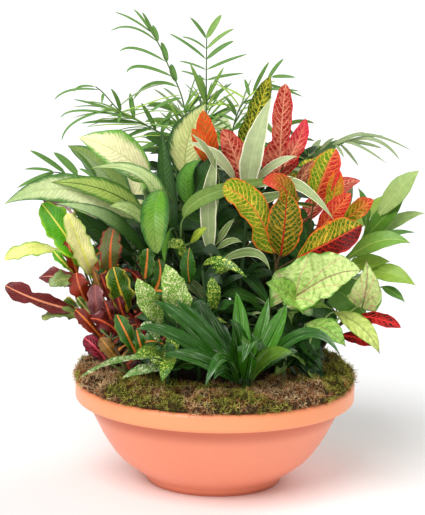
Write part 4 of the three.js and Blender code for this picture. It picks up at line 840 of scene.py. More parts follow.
plants = {
    "dumb_cane_stem_1": {
        "kind": "dumbCane", "radius": 5, "root": [-62, 18], "path": [[-76, 290, -8], [-92, 372, -12]],
        "leaves": [
            ("creamLeaf", -85, 386, -12, -130, 421, -24, -176, 437, -22, 60, 10),
            ("palePoint>greyGreen", -105, 336, -22, -190, 371, -38, -269, 351, -50, 42, -8),
            ("oliveFold", -94, 342, -42, -146, 372, -60, -210, 380, -68, 30, -6),
            ("paleStrap", -66, 318, -34, -92, 388, -50, -162, 398, -56, 28, 24),
            ("paleUnder", -85, 326, -34, -112, 347, -44, -137, 350, -50, 24, 12),
            # painted highlight: the grey-green towards this leaf's tip stands for light on its dark green
            ("darkGreen>greyGreen", -88, 285, -34, -136, 334, -60, -205, 353, -70, 28, 20),
            ("darkGreen", -104, 290, 34, -148, 316, 30, -180, 346, 26, 30),
        ]},
    "dumb_cane_stem_2": {
        "kind": "dumbCane", "radius": 4.5, "root": [-38, 34], "path": [[-44, 300, 14], [-48, 388, 8]],
        "leaves": [
            ("brightGreen>hangGreen hangingCane", -72, 372, -50, -80, 338, -68, -76, 291, -72, 34),
            ("brightGreen", -60, 322, -40, -66, 302, -50, -66, 279, -52, 13, 40),
            ("darkGreen", -55, 300, -5, -66, 380, -9, -72, 450, -2, 24, 10),
            ("midGreen", -36, 352, -6, -40, 390, -13, -22, 412, -15, 24, -14),
            ("creamShade", -42, 392, 12, -38, 440, 16, -18, 482, 20, 50, 6),
            ("darkGreen", -46, 322, 22, 6, 322, 28, 56, 308, 32, 30),
            ("darkGreen", -32, 366, 18, -18, 392, 20, -6, 420, 22, 28),
        ]},
    "green_ribbon_stem": {
        "kind": "ribbon", "radius": 3, "root": [-24, -16], "path": [[-40, 262, -28], [-48, 322, -38]],
        "leaves": [
            ("ribbonGreen", -43, 338, -44, -4, 371, -50, 98, 392, -52, 19, 6, 60),
            ("yellowFleck", -34, 306, -40, -24, 318, -48, -14, 326, -50, 12, 10),
        ]},
    "white_edged_stem_1": {
        "kind": "whiteEdged", "radius": 3.5, "root": [22, 2], "path": [[32, 280, -8], [38, 374, -14]],
        "leaves": [
            ("whiteEdge", 36, 371, -15, 44, 430, -22, 64, 492, -25, 28),
            ("whiteEdge", 20, 388, -18, -6, 417, -26, -40, 434, -30, 20, 20),
            ("whiteGrey", 45, 378, -20, 96, 383, -36, 146, 338, -52, 15, 10),
            ("whiteEdge", 45, 385, -12, 72, 409, -15, 98, 418, -17, 11, 10),
            ("whiteShade", 42, 360, -16, 62, 365, -25, 90, 374, -29, 14, 15),
        ]},
    "white_edged_stem_2": {
        "kind": "whiteEdged", "radius": 3, "root": [2, -14], "path": [[-4, 240, -24], [-8, 300, -30]],
        "leaves": [
            ("whiteGrey", -8, 290, -34, -12, 358, -38, -2, 425, -36, 20),
            ("whiteGrey", 0, 392, -22, -14, 421, -32, -34, 444, -36, 13, 20),
            ("whiteShade", 0, 299, -32, 16, 309, -38, 31, 308, -42, 9, 10),
            ("whiteShade", 0, 306, -30, 10, 324, -34, 21, 338, -36, 9),
            ("whiteShade", 5, 283, -36, 45, 295, -48, 67, 272, -54, 11, 30),
        ]},
    "broad_croton_stem_1": {
        "kind": "broadCroton", "radius": 3.5, "root": [68, 26], "path": [[58, 300, 10], [66, 380, 4]],
        "leaves": [
            ("pinkNet fingerCroton", 76, 388, 4, 77, 450, 2, 81, 509, 0, 46),
            ("pinkNet>hotPink", 80, 403, 0, 97, 434, -4, 107, 466, -6, 22, 12),
            ("pinkNet", 30, 380, 0, 19, 420, -5, 3, 451, -7, 30, -8),
            ("brownPink", 95, 372, -8, 107, 396, -10, 119, 413, -12, 15, 10),
        ]},
    "broad_croton_stem_2": {
        "kind": "broadCroton", "radius": 3, "root": [4, 30], "path": [[-2, 300, 14], [-4, 384, 8]],
        "leaves": [
            ("orangeRed", -4, 403, 4, -16, 440, 1, -21, 474, 0, 25),
            ("orangeRed", -11, 405, -4, -22, 430, -9, -34, 451, -11, 20, -10),
        ]},
    "broad_croton_stem_3": {
        "kind": "broadCroton", "radius": 3.5, "root": [58, -12], "path": [[70, 240, -24], [76, 284, -30]],
        "leaves": [
            ("goldNet lobedCroton", 72, 294, -33, 44, 352, -46, 5, 378, -52, 46, -6),
            ("oliveGold", 80, 290, -30, 84, 331, -41, 86, 373, -43, 44),
            ("greenGold|bloodRed", 100, 288, -42, 145, 312, -57, 181, 333, -60, 48),
            ("greenGold>hotRed", 96, 350, -30, 80, 379, -40, 55, 385, -54, 28, -20),
        ]},
    "broad_croton_stem_4": {
        "kind": "broadCroton", "radius": 3, "root": [46, 60], "path": [[38, 300, 44], [36, 384, 36]],
        "leaves": [
            ("darkGold", 36, 424, 35, 47, 472, 39, 62, 518, 36, 27),
            ("darkGold", 33, 398, 30, 35, 438, 30, 41, 472, 28, 26),
        ]},
    "broad_croton_stem_5": {
        "kind": "broadCroton", "radius": 3, "root": [92, 14], "path": [[106, 250, 0], [118, 322, -12]],
        "leaves": [
            ("goldNet|redNet", 120, 358, -14, 133, 398, -24, 146, 429, -26, 36, 6),
            ("goldNet>orangeRed", 137, 340, -20, 146, 374, -28, 148, 405, -30, 23, -16),
            ("redNet", 122, 318, -26, 146, 348, -38, 166, 373, -42, 27),
            ("goldNet>redNet", 150, 328, -22, 174, 350, -32, 195, 365, -36, 25),
        ]},
    "broad_croton_stem_6": {
        "kind": "broadCroton", "radius": 2.5, "root": [122, -22], "path": [[140, 180, -34], [160, 208, -46]],
        "leaves": [
            ("blackRed", 178, 214, -58, 206, 212, -70, 235, 201, -78, 19),
            ("blackRed", 158, 190, -40, 182, 186, -52, 204, 178, -60, 17, 10),
        ]},
    "curly_croton_stem_1": {
        "kind": "curlyCroton", "radius": 2.6, "root": [-124, -22],
        "path": [[-150, 220, -42], [-166, 264, -48]],
        "leaves": [
            ("limeGold", -166, 272, -48, -192, 313, -57, -222, 353, -61, 36),
            ("creamGold", -158, 262, -52, -173, 301, -64, -190, 341, -68, 28),
            ("rust", -176, 263, -50, -184, 286, -57, -189, 308, -59, 17),
            ("paleYellow", -178, 284, -46, -228, 295, -51, -269, 280, -53, 19, 10),
            ("limeGold", -180, 264, -54, -197, 281, -62, -207, 293, -64, 11),
        ]},
    "curly_croton_stem_2": {
        "kind": "curlyCroton", "radius": 2.6, "root": [-130, -46],
        "path": [[-152, 180, -56], [-164, 208, -62]],
        "leaves": [
            ("maroon waistCroton", -176, 216, -62, -225, 228, -78, -268, 247, -82, 26, 0, 12),
            ("olive", -172, 250, -58, -192, 257, -66, -212, 247, -70, 19),
            ("olive", -170, 208, -64, -198, 213, -73, -221, 203, -79, 17, 10),
            ("rust", -162, 222, -62, -173, 244, -69, -178, 265, -71, 25),
            ("greenCream", -158, 205, -66, -167, 220, -71, -177, 233, -73, 13),
        ]},
    "curly_croton_stem_3": {
        "kind": "curlyCroton", "radius": 2.6, "root": [-108, -74],
        "path": [[-122, 158, -84], [-134, 180, -88]],
        "leaves": [
            ("dustyPurple", -152, 200, -80, -153, 228, -87, -154, 250, -89, 20),
            ("redOrange", -145, 180, -86, -163, 201, -94, -179, 217, -98, 18),
            ("bloodBrown", -122, 186, -88, -141, 201, -95, -159, 206, -99, 21),
            ("magenta", -140, 152, -92, -153, 168, -99, -168, 181, -101, 23),
            ("tanBrown", -122, 150, -98, -136, 167, -105, -147, 181, -107, 19),
            ("bloodBrown", -133, 203, -82, -137, 216, -85, -142, 230, -86, 17),
        ]},
    "curly_croton_stem_4": {
        "kind": "curlyCroton", "radius": 2.6, "root": [-96, -48],
        "path": [[-116, 200, -56], [-128, 256, -54]],
        "leaves": [
            ("greyBlotch", -134, 264, -56, -135, 296, -63, -130, 324, -65, 28),
            ("redOrange", -128, 222, -60, -133, 246, -67, -135, 269, -68, 13),
            ("greenGoldRib", -112, 215, -62, -123, 245, -74, -131, 273, -78, 30),
            ("tanBrown", -142, 230, -58, -150, 251, -61, -158, 272, -61, 9, 20),
            ("bloodBrown", -116, 206, -68, -122, 223, -73, -126, 239, -75, 13),
            ("bloodBrown", -130, 228, -50, -140, 246, -54, -147, 264, -56, 19),
        ]},
    "curly_croton_stem_5": {
        "kind": "curlyCroton", "radius": 2.4, "root": [-84, -66],
        "path": [[-92, 160, -76], [-98, 176, -82]],
        "leaves": [
            ("greenOrange", -101, 160, -90, -114, 187, -99, -126, 211, -101, 19),
            ("greenOrange", -92, 160, -88, -97, 176, -93, -101, 192, -93, 15),
        ]},
    "curly_croton_stem_6": {
        "kind": "curlyCroton", "radius": 2.4, "root": [-76, -34],
        "path": [[-84, 210, -42], [-88, 252, -45]],
        "leaves": [
            ("greenOrange", -91, 258, -50, -89, 279, -55, -88, 298, -55, 19),
            ("greenOrange", -80, 240, -46, -72, 262, -52, -74, 284, -54, 17),
        ]},
    "speckled_stem_1": {
        "kind": "speckled", "radius": 2.6, "root": [-50, -62], "path": [[-52, 180, -68], [-48, 206, -72]],
        "leaves": [
            ("creamDots", -42, 200, -76, -53, 241, -87, -65, 278, -89, 35),
            ("creamDots", -68, 200, -76, -87, 231, -87, -101, 259, -91, 29),
            ("limeDots", -38, 282, -60, -50, 303, -70, -64, 298, -76, 18),
        ]},
    "speckled_stem_2": {
        "kind": "speckled", "radius": 2.6, "root": [-20, -50], "path": [[-14, 215, -58], [-18, 272, -60]],
        "leaves": [
            ("limeDots", -2, 220, -74, -4, 243, -83, -7, 263, -85, 18),
            ("limeDots", -18, 277, -62, 6, 283, -71, 38, 262, -77, 11, 20),
            ("greenOrange", -34, 253, -60, -37, 277, -66, -35, 300, -66, 19),
        ]},
    "speckled_stem_3": {
        "kind": "speckled", "radius": 2.4, "root": [-58, -98], "path": [[-60, 150, -106]],
        "leaves": [
            ("whiteDots", -78, 156, -106, -126, 152, -120, -173, 128, -130, 13, 30),
            ("limeDots", -66, 158, -108, -86, 165, -121, -105, 152, -127, 16),
            ("whiteDots", -66, 143, -112, -92, 141, -127, -118, 129, -134, 14),
            ("limeDots", -52, 158, -108, -62, 147, -125, -67, 125, -131, 17),
            ("whiteDots", -72, 176, -98, -84, 196, -103, -97, 195, -106, 13),
        ]},
    "dracaena_rosette": {
        "kind": "strap", "radius": 6, "root": [38, -104], "path": [[38, 142, -104]],
        "leaves": [
            ("darkStrap", 25, 132, -105, -52, 182, -119, -103, 192, -129, 24, 14),
            ("darkStrap", 25, 136, -100, -38, 201, -106, -81, 230, -109, 22, 10),
            ("darkStrap", 28, 138, -96, -20, 197, -99, -52, 232, -97, 22),
            ("blackStrap", 30, 138, -92, -4, 197, -89, -21, 231, -83, 22),
            ("darkStrap", 33, 142, -88, 5, 197, -77, -12, 233, -70, 15),
            ("glossStrap", 36, 140, -95, 31, 200, -95, 25, 244, -91, 22),
            ("darkStrap", 32, 130, -108, 28, 180, -123, 18, 208, -133, 26),
            ("glossStrap", 38, 140, -84, 35, 190, -75, 30, 236, -67, 19),
            ("glossStrap", 42, 138, -92, 57, 192, -89, 66, 238, -83, 19),
            ("glossStrap", 46, 138, -96, 73, 190, -99, 89, 230, -97, 25),
            ("darkStrap", 28, 126, -112, 9, 157, -136, -13, 118, -151, 19),
            ("darkStrap", 38, 128, -114, 44, 177, -142, 34, 151, -158, 28),
            ("brightStrap", 46, 128, -110, 71, 156, -134, 98, 166, -150, 29),
            ("blackStrap", 50, 138, -100, 80, 161, -113, 105, 168, -119, 19),
            ("darkStrap", 50, 136, -98, 112, 191, -109, 159, 163, -121, 16, 14),
            ("darkStrap", 24, 128, -110, -20, 153, -129, -67, 161, -139, 25),
            ("darkStrap", 44, 134, -104, 58, 165, -117, 44, 189, -121, 15),
            ("darkStrap", 30, 124, -112, 12, 141, -129, -2, 128, -141, 15),
        ]},
    "arrowhead_stem_1": {
        "kind": "arrow", "radius": 2.4, "root": [86, -50], "path": [[92, 190, -56], [100, 226, -58]],
        "leaves": [
            ("arrowPale wideArrow", 108, 244, -62, 148, 268, -84, 182, 273, -92, 61, 26),
            ("arrowGreen wideArrow", 100, 234, -60, 82, 248, -73, 62, 256, -80, 42),
            ("arrowGreen", 105, 225, -64, 128, 229, -75, 149, 222, -80, 15, 10),
        ]},
    "arrowhead_stem_2": {
        "kind": "arrow", "radius": 2.2, "root": [116, -54], "path": [[118, 170, -62], [122, 190, -66]],
        "leaves": [
            ("arrowPale", 187, 238, -70, 190, 264, -80, 188, 288, -82, 42),
            ("limeLeaf lily", 150, 220, -70, 188, 198, -92, 209, 166, -100, 24, 20),
            ("arrowGreen lily", 115, 205, -72, 142, 196, -93, 166, 175, -101, 32),
        ]},
    "lily_bunch_1": {
        "kind": "lily", "radius": 4, "root": [112, 34], "path": [[124, 220, 20]],
        "leaves": [
            ("lilyPale", 200, 343, -5, 229, 381, -13, 251, 403, -16, 28),
            ("lilyDark", 182, 312, 0, 212, 346, -5, 233, 366, -7, 25),
            ("lilyPale", 196, 318, 8, 230, 341, 3, 260, 349, -1, 17),
            ("lilyDark", 186, 328, 6, 184, 358, 4, 175, 380, 2, 13),
        ]},
    "lily_bunch_2": {
        "kind": "lily", "radius": 4, "root": [126, 4], "path": [[134, 190, -8]],
        "leaves": [
            ("lilyGreen", 165, 290, -20, 206, 313, -29, 244, 310, -33, 27),
            ("lilyLime", 160, 276, -18, 192, 285, -26, 219, 286, -28, 22),
            ("lilyLime", 190, 272, -22, 222, 270, -29, 252, 256, -33, 26),
            ("lilyDark", 208, 254, -26, 225, 246, -31, 239, 234, -35, 13),
            ("lilyDark", 144, 252, -38, 167, 238, -48, 191, 215, -54, 50),
        ]},
}

# Palm fronds: the rib's path in the same terms, then leaflets as base x, z, tip x, z, width and any crest
fronds = {
    "palm_frond_1": {
        "root": [-30, 76],
        "path": [[-38, 300, 80], [-45, 480, 84], [-66, 531, 84], [-77, 555, 83], [-90, 575, 82]],
        "leaflets": [
            [-88, 572, -132, 594, 4], [-88, 572, -109, 598, 4], [-84, 566, -98, 594, 5],
            [-78, 555, -85, 579, 7], [-80, 560, -138, 570, 4, -110, 575], [-66, 531, -74, 558, 8],
            [-68, 536, -126, 545, 5, -104, 549], [-58, 508, -61, 531, 9], [-62, 514, -117, 519, 6, -98, 527],
            [-58, 497, -109, 484, 6, -85, 506], [-50, 490, -88, 470, 6], [-47, 470, -20, 492, 6],
            [-46, 455, -90, 452, 6], [-44, 440, -14, 462, 6],
        ],
    },
    "palm_frond_2": {
        "pale": (1, 3, 10, 11, 12), "root": [-8, 88],
        "path": [[-12, 300, 92], [-17, 480, 96], [-18, 563, 94]],
        "leaflets": [
            [-18, 562, -39, 589, 6], [-18, 562, 0, 593, 8], [-18, 552, -49, 565, 4], [-18, 552, 16, 576, 5],
            [-18, 538, -65, 569, 5], [-18, 538, 16, 561, 6], [-18, 523, -52, 535, 4], [-18, 523, 33, 545, 4],
            [-18, 510, -50, 523, 4], [-18, 510, 29, 521, 4], [-17, 480, -38, 532, 7], [-17, 478, -26, 519, 8],
            [-17, 485, 4, 528, 5], [-16, 460, 24, 482, 6], [-16, 455, -50, 480, 6], [-15, 430, 20, 452, 6],
        ],
    },
    "palm_frond_3": {
        "root": [-58, 64],
        "path": [
            [-55, 300, 66], [-60, 430, 68], [-95, 456, 62], [-122, 469, 58], [-147, 495, 54], [-155, 501, 53],
        ],
        "leaflets": [
            [-121, 470, -136, 499, 6], [-108, 462, -112, 494, 7], [-145, 493, -147, 480, 4],
            [-133, 482, -138, 470, 4], [-122, 469, -127, 456, 5], [-108, 463, -183, 485, 5],
            [-104, 460, -199, 461, 4, -170, 471], [-98, 457, -174, 455, 6],
            [-153, 500, -182, 494, 4, -173, 501], [-152, 499, -207, 483, 4, -186, 496],
            [-128, 475, -197, 432, 4, -178, 458], [-85, 450, -120, 436, 7], [-80, 447, -98, 482, 7],
            [-72, 442, -60, 474, 7], [-66, 436, -104, 420, 7],
        ],
    },
    "palm_frond_4": {
        "root": [-88, 46],
        "path": [[-108, 300, 44], [-126, 372, 36], [-150, 385, 30], [-176, 389, 24], [-206, 393, 18]],
        "leaflets": [
            [-193, 392, -237, 420, 8], [-176, 389, -207, 418, 11], [-204, 393, -244, 396, 5],
            [-205, 392, -253, 372, 7], [-184, 390, -208, 378, 6], [-157, 386, -175, 398, 5],
            [-150, 385, -180, 421, 5], [-160, 386, -196, 366, 6], [-204, 393, -253, 364, 4, -224, 380],
        ],
    },
    "palm_frond_5": {
        "look": "palmHaze", "root": [62, 84],
        "path": [[72, 300, 70], [88, 397, 58], [118, 421, 48], [142, 433, 42], [160, 438, 38]],
        "leaflets": [
            [140, 432, 181, 450, 6], [148, 435, 240, 428, 4, 186, 447], [158, 438, 226, 416, 5, 196, 440],
            [158, 438, 204, 430, 5], [140, 432, 210, 411, 4, 166, 436], [150, 435, 175, 407, 4],
            [145, 433, 156, 418, 4], [111, 416, 127, 440, 8], [126, 425, 143, 442, 5], [100, 408, 96, 436, 7],
            [92, 400, 122, 396, 6], [155, 437, 205, 446, 4],
        ],
    },
    "palm_frond_6": {
        "root": [18, 74], "path": [[12, 300, 78], [15, 440, 80], [27, 481, 80], [63, 517, 78]],
        "leaflets": [
            [62, 515, 93, 517, 5], [28, 482, 61, 489, 6], [16, 452, 46, 459, 6], [52, 508, 103, 493, 4],
            [44, 500, 99, 500, 4], [36, 492, 30, 514, 5], [22, 470, 4, 492, 6], [18, 460, -4, 470, 5],
            [40, 496, 60, 536, 5], [57, 512, 78, 540, 5],
        ],
    },
}

stalkLooks = {  # the look of a plant's stem, then of its leaf stalks
    "dumbCane": ("greenStalk", "greenStalk"), "ribbon": ("darkStalk", "greenStalk"),
    "whiteEdged": ("darkStalk", "paleStalk"), "broadCroton": ("brownStalk", "brownStalk"),
    "curlyCroton": ("brownStalk", "greenStalk"), "speckled": ("darkStalk", "darkStalk"),
    "strap": ("darkStalk", "darkStalk"), "arrow": ("paleStalk", "paleStalk"),
    "lily": ("greenStalk", "paleStalk"),
}
shade = {  # dark inner leaves that close each plant's own space, in millimetres; their dark looks are partly painted shade deep in the planting
    "grid": (12, 6), "from": (0.1, 0.9), "rise": (-0.15, 0.8), "low": 170, "high": 396, "slope": 1.3,
    "shoulder": 66, "front": -66, "forward": 14, "turn": 40, "arch": 0.16, "face": (0.1, -0.5, 0.86),
    "front plants": {"count": 14, "farOut": 126}, "back plants": {"count": 26, "farOut": 168},
    "dumbCane": {"reach": (46, 96), "width": (18, 34), "looks": ("shadeGreen", "deepGreen", "darkGreen")},
    "ribbon": {"reach": (46, 90), "width": (10, 18), "looks": ("shadeGreen", "deepGreen")},
    "whiteEdged": {"reach": (46, 84), "width": (5, 11), "looks": ("shadeGreen", "deepGreen", "whiteShade"),
                   "forward": 26},
    "broadCroton": {"reach": (40, 84), "width": (16, 28), "looks": ("shadeGreen", "deepGreen", "darkGreen")},
    "curlyCroton": {"reach": (28, 58), "width": (12, 20),
                    "looks": ("bloodBrown", "shadeGreen", "greenOrange", "deepRed")},
    "speckled": {"reach": (34, 66), "width": (14, 24), "looks": ("limeDots", "shadeGreen", "deepGreen")},
    "strap": {"reach": (50, 90), "width": (12, 18), "looks": ("blackStrap", "shadeGreen")},
    "arrow": {"reach": (38, 70), "width": (18, 30), "looks": ("deepGreen", "shadeGreen", "arrowGreen")},
    "lily": {"reach": (46, 88), "width": (16, 28), "looks": ("deepGreen", "lilyDark", "shadeGreen")},
}
seeds = {  # where each group starts its random draws; leaves on one stem count on from there
    "frontLeaves": 0, "frontShade": 500, "backLeaves": 3000, "backShade": 700, "fronds": 4000,
    "backFronds": 5000, "fineLeaflets": 60, "lowLeaflets": 80, "backLeaflets": 90, "stem": 40, "filling": 31,
}


def growShade(growth, curve, kind, where, seed):
    draw = random.Random(seed)
    rules, place = shade[kind], shade[where]
    form = dict(leafForms[kind], grid=shade["grid"])
    for k in range(place["count"]):
        start = curve[int(draw.uniform(*shade["from"]) * (len(curve) - 1))]
        bearing = draw.uniform(0, 2 * math.pi)
        reach = draw.uniform(*rules["reach"])
        tip = start + Vector((math.cos(bearing), math.sin(bearing), draw.uniform(*shade["rise"]))) * reach
        over = math.hypot(tip.x, tip.y) / place["farOut"]
        if over > 1:
            tip.x, tip.y = tip.x / over, tip.y / over
        tip.y = max(tip.y, min(start.y, shade["front"]), start.y - rules.get("forward", shade["forward"]))
        high = shade["high"] - max(0, abs(tip.x) - shade["shoulder"]) * shade["slope"]
        tip.z = min(max(tip.z, shade["low"]), high)
        crest = (start + tip) / 2 + Vector((0, 0, shade["arch"] * reach))
        leaf = {"form": form, "face": shade["face"], "width": draw.uniform(*rules["width"]),
                "turn": draw.uniform(-shade["turn"], shade["turn"]),
                "look": draw.choice(rules["looks"]), "seed": seed * seeds["filling"] + k}
        growBlade(growth, (start, crest, tip), leaf)


def frontEnds(bx, bz, by, cx, cz, cy, tx, tz, ty, shift):  # base, crest and tip, moved back by a shift
    reachOut = leafRules["reachOut"]
    return [sighted(bx, bz, by + leafRules["baseShift"] * shift),
            sighted(cx, cz, by + reachOut * (cy - by) + shift),
            sighted(tx, tz, by + reachOut * (ty - by) + shift)]


def startStem(plant, path):  # a growth with its stem, the stem's curve and the look of its leaf stalks
    growth, curve = Growth(), stemCurve(plant["root"], path)
    stemLook, stalkLook = stalkLooks[plant["kind"]]
    growStem(growth, plant["root"], curve, plant["radius"], stemLook)
    return growth, curve, stalkLook


def leafyPiece(growth, node, kind):
    growth.piece(node + "_leaves", leafMaterials[kind], leafFinishes[kind]["slot"], node)


for number, (node, plant) in enumerate(plants.items()):
    growth, curve, stalkLook = startStem(plant, [sighted(*p) for p in plant["path"]])
    for i, (named, *row) in enumerate(plant["leaves"]):
        look, _, otherForm = named.partition(" ")
        width, turn, twist = (row[9:] + [0, 0])[:3]
        leaf = {"form": leafForms[otherForm or plant["kind"]], "face": leafRules["faceFront"], "width": width,
                "turn": turn, "twist": twist, "look": look,
                "seed": seeds["frontLeaves"] + number * seeds["stem"] + i}
        choices = [frontEnds(*row[:9], shift) for shift in leafRules["shifts"]]
        growLeaf(growth, node, curve, choices, leaf, stalkLook)
    growShade(growth, curve, plant["kind"], "front plants", seeds["frontShade"] + number)
    leafyPiece(growth, node, plant["kind"])
print("front plants", len(plants))


# The back of the planting, set out by the same rule as the solids, with bearings in degrees

backStems = {
    "back_dumb_cane_stem": {"kind": "dumbCane", "radius": 4.5, "root": (-72, 62), "top": (-94, 114, 312),
        "bearing": 118, "spread": 56, "count": 7, "reach": (116, 150), "width": 58, "from": 0.3,
        "looks": ("darkGreen", "creamLeaf", "hangGreen", "palePoint")},
    "back_croton_stem_1": {"kind": "broadCroton", "radius": 3.2, "root": (72, 86), "top": (90, 130, 332),
        "bearing": 64, "spread": 58, "count": 7, "reach": (96, 124), "width": 44, "from": 0.28,
        "looks": ("goldNet", "greenGold", "redNet", "darkGold", "pinkNet")},
    "back_croton_stem_2": {"kind": "curlyCroton", "radius": 2.8, "root": (-112, 34), "top": (-146, 72, 300),
        "bearing": 158, "spread": 56, "count": 7, "reach": (84, 112), "width": 32, "from": 0.16,
        "looks": ("greenGoldRib", "maroon", "limeGold", "redOrange")},
    "back_speckled_stem": {"kind": "speckled", "radius": 2.8, "root": (-48, 104), "top": (-50, 142, 240),
        "bearing": 104, "spread": 70, "count": 7, "reach": (80, 104), "width": 40, "from": 0.05,
        "looks": ("creamDots", "limeDots")},
    "back_lily_bunch": {"kind": "lily", "radius": 4, "root": (100, 62), "top": (130, 92, 262),
        "bearing": 26, "spread": 56, "count": 7, "reach": (110, 146), "width": 42, "from": 0.15,
        "looks": ("lilyGreen", "lilyDark", "lilyLime")},
    "back_white_edged_stem": {"kind": "whiteEdged", "radius": 3.4, "root": (6, 108), "top": (8, 148, 352),
        "bearing": 88, "spread": 66, "count": 7, "reach": (104, 140), "width": 28, "from": 0.34,
        "looks": ("whiteEdge",)},
    "back_strap_rosette": {"kind": "strap", "radius": 6, "root": (40, 118), "top": (42, 124, 176),
        "bearing": 84, "spread": 80, "count": 9, "reach": (92, 128), "width": 28, "from": 0.1,
        "looks": ("darkStrap", "glossStrap")},
}
backLeaf = {  # shares of a leaf's reach; times set how fast a measure changes from leaf to leaf
    "base": 0.22, "baseRise": 0.25, "arch": 0.11, "climb": (0.1, 0.85), "vary": 0.12, "tip": 0.35, "turn": 14,
    "swing": 0.014, "stem": (0.1, 0.96), "lean": (0, -4, 0), "phase": 0.6,
    "times": {"bearing": 2.4, "reach": 1.7, "climb": 3.1, "turn": 5},
}


def mixed(pair, share):
    return pair[0] + (pair[1] - pair[0]) * share


def towards(bearing):  # a level direction, from an angle in radians
    return Vector((math.cos(bearing), math.sin(bearing), 0))


def raised(height):
    return Vector((0, 0, height))


def backEnds(start, out, reach, climb, shift):  # base, crest and tip, swung round the stem by a shift
    swung = Matrix.Rotation(shift * backLeaf["swing"], 3, "Z") @ out
    base = start + swung * backLeaf["base"] * reach + raised(backLeaf["baseRise"] * reach * climb)
    tip = start + swung * reach + raised(reach * climb)
    return [base, (base + tip) / 2 + raised(backLeaf["arch"] * reach), tip]


for number, (node, plant) in enumerate(backStems.items()):
    foot, top, times = Vector((*plant["root"], soilTop)), Vector(plant["top"]), backLeaf["times"]
    growth, curve, stalkLook = startStem(plant, [foot.lerp(top, 0.5) + Vector(backLeaf["lean"]), top])
    for i in range(plant["count"]):
        along = mixed((plant["from"], 1), i / (plant["count"] - 1))
        swing = math.sin(times["bearing"] * i + backLeaf["phase"])
        out = towards(math.radians(plant["bearing"] + plant["spread"] * swing))
        reach = mixed(plant["reach"], 0.5 + 0.5 * math.sin(times["reach"] * i))
        climb = mixed(backLeaf["climb"], along) + backLeaf["vary"] * math.sin(times["climb"] * i)
        start = curve[round(mixed(backLeaf["stem"], along) * (len(curve) - 1))]
        choices = [backEnds(start, out, reach, climb, shift) for shift in leafRules["shifts"]]
        leaf = {"form": leafForms[plant["kind"]], "width": plant["width"],
                "face": tuple((raised(1) - out * backLeaf["tip"] * climb).normalized()),
                "turn": backLeaf["turn"] * math.sin(times["turn"] * i),
                "look": plant["looks"][i % len(plant["looks"])],
                "seed": seeds["backLeaves"] + number * seeds["stem"] + i}
        growLeaf(growth, node, curve, choices, leaf, stalkLook)
    growShade(growth, curve, plant["kind"], "back plants", seeds["backShade"] + number)
    leafyPiece(growth, node, plant["kind"])
print("back plants", len(backStems))


# Palm fronds

palmRules = {  # a frond's stalk and rib, and how its leaflets lean to front and back by turns
    "radius": 1.9, "foot": (100, 130, soilTop), "rib": (1.7, 0.8), "sides": 6, "steps": 60,
    "lean": (-14, 12), "turn": 12, "arch": 2, "backFrom": 100, "faceBack": (0, 0.8, 0.6), "longLeaflet": 66,
}
backFronds = {
    "back_palm_frond_1": {"root": (-22, 110), "lean": (-46, 176), "height": 452, "bearing": 104, "pairs": 8},
    "back_palm_frond_2": {"root": (42, 96), "lean": (74, 170), "height": 434, "bearing": 70, "pairs": 7},
}
backLeaflet = {
    "along": (0.5, 0.96), "reach": (78, 48), "width": 10, "out": 22, "rise": 14, "arch": 15, "bow": 16,
    "bowAt": 0.6,
}
palmFill = {  # fine leaflets that crowd a rib: how many, between which heights, how long, wide and steep
    "palm_frond_1": {"count": 24, "height": (400, 470), "reach": (34, 62), "width": (2.4, 4.4),
        "climb": (0.6, 1.5)},
    "palm_frond_2": {"count": 24, "height": (400, 480), "reach": (30, 54), "width": (2.4, 4.4),
        "climb": (0.4, 1.4)},
    "palm_frond_3": {"count": 40, "height": (408, 466), "reach": (44, 86), "width": (1.6, 2.8),
        "climb": (-0.3, 0.4)},
    "palm_frond_5": {"count": 8, "height": (340, 416), "reach": (26, 48), "width": (2.2, 3.4),
        "climb": (-0.2, 1.1)},
    "palm_frond_6": {"count": 22, "height": (400, 480), "reach": (26, 54), "width": (2.2, 3.6),
        "climb": (-0.1, 1.2)},
}
lowFill = {"count": 20, "height": (200, 420), "reach": (44, 78), "width": (6, 11), "climb": (-0.2, 1.1)}
leftFill = {"count": 14, "height": (200, 330), "reach": (44, 70), "width": (6, 10), "climb": (-0.2, 1.1)}
fillRules = {
    "sway": (-0.5, 0.5), "arch": (0.02, 0.12), "turn": (-30, 30), "low": ("palmDark", "shadeGreen"),
    "high": ("palmPale", "palmGreen", "palmLime", "palmHaze", "palmLime"),
}


def growLeaflet(growth, node, base, crest, tip, width, look, seed):
    form = leafForms["longLeaflet" if (tip - base).length > palmRules["longLeaflet"] else "leaflet"]
    face = palmRules["faceBack"] if base.y > palmRules["backFrom"] else leafRules["faceFront"]
    choices = [[base, crest + Vector((0, leafRules["crestShift"] * shift, 0)), tip + Vector((0, shift, 0))]
               for shift in leafRules["shifts"]]
    leaf = {"form": form, "face": face, "width": width, "turn": palmRules["turn"], "look": look, "seed": seed}
    growBlade(growth, settledEnds(node, form, choices), leaf)


def growFill(growth, curve, settings, looksAt, seed):
    draw = random.Random(seed)
    for k in range(settings["count"]):
        height = draw.uniform(*settings["height"])
        base = min(curve, key=lambda p: abs(p.z - height))
        climb = draw.uniform(*settings["climb"])
        hand = 1 if k % 2 else -1
        sway = draw.uniform(*fillRules["sway"])
        toTip = Vector((hand * math.cos(climb), sway, math.sin(climb))).normalized()
        reach = draw.uniform(*settings["reach"])
        tip = base + toTip * reach
        crest = base.lerp(tip, 0.5) + raised(draw.uniform(*fillRules["arch"]) * reach)
        leaf = {"form": leafForms["leaflet"], "face": leafRules["faceFront"],
                "width": draw.uniform(*settings["width"]), "turn": draw.uniform(*fillRules["turn"]),
                "look": draw.choice(fillRules[looksAt]), "seed": seed * seeds["filling"] + k}
        growBlade(growth, (base, crest, tip), leaf)


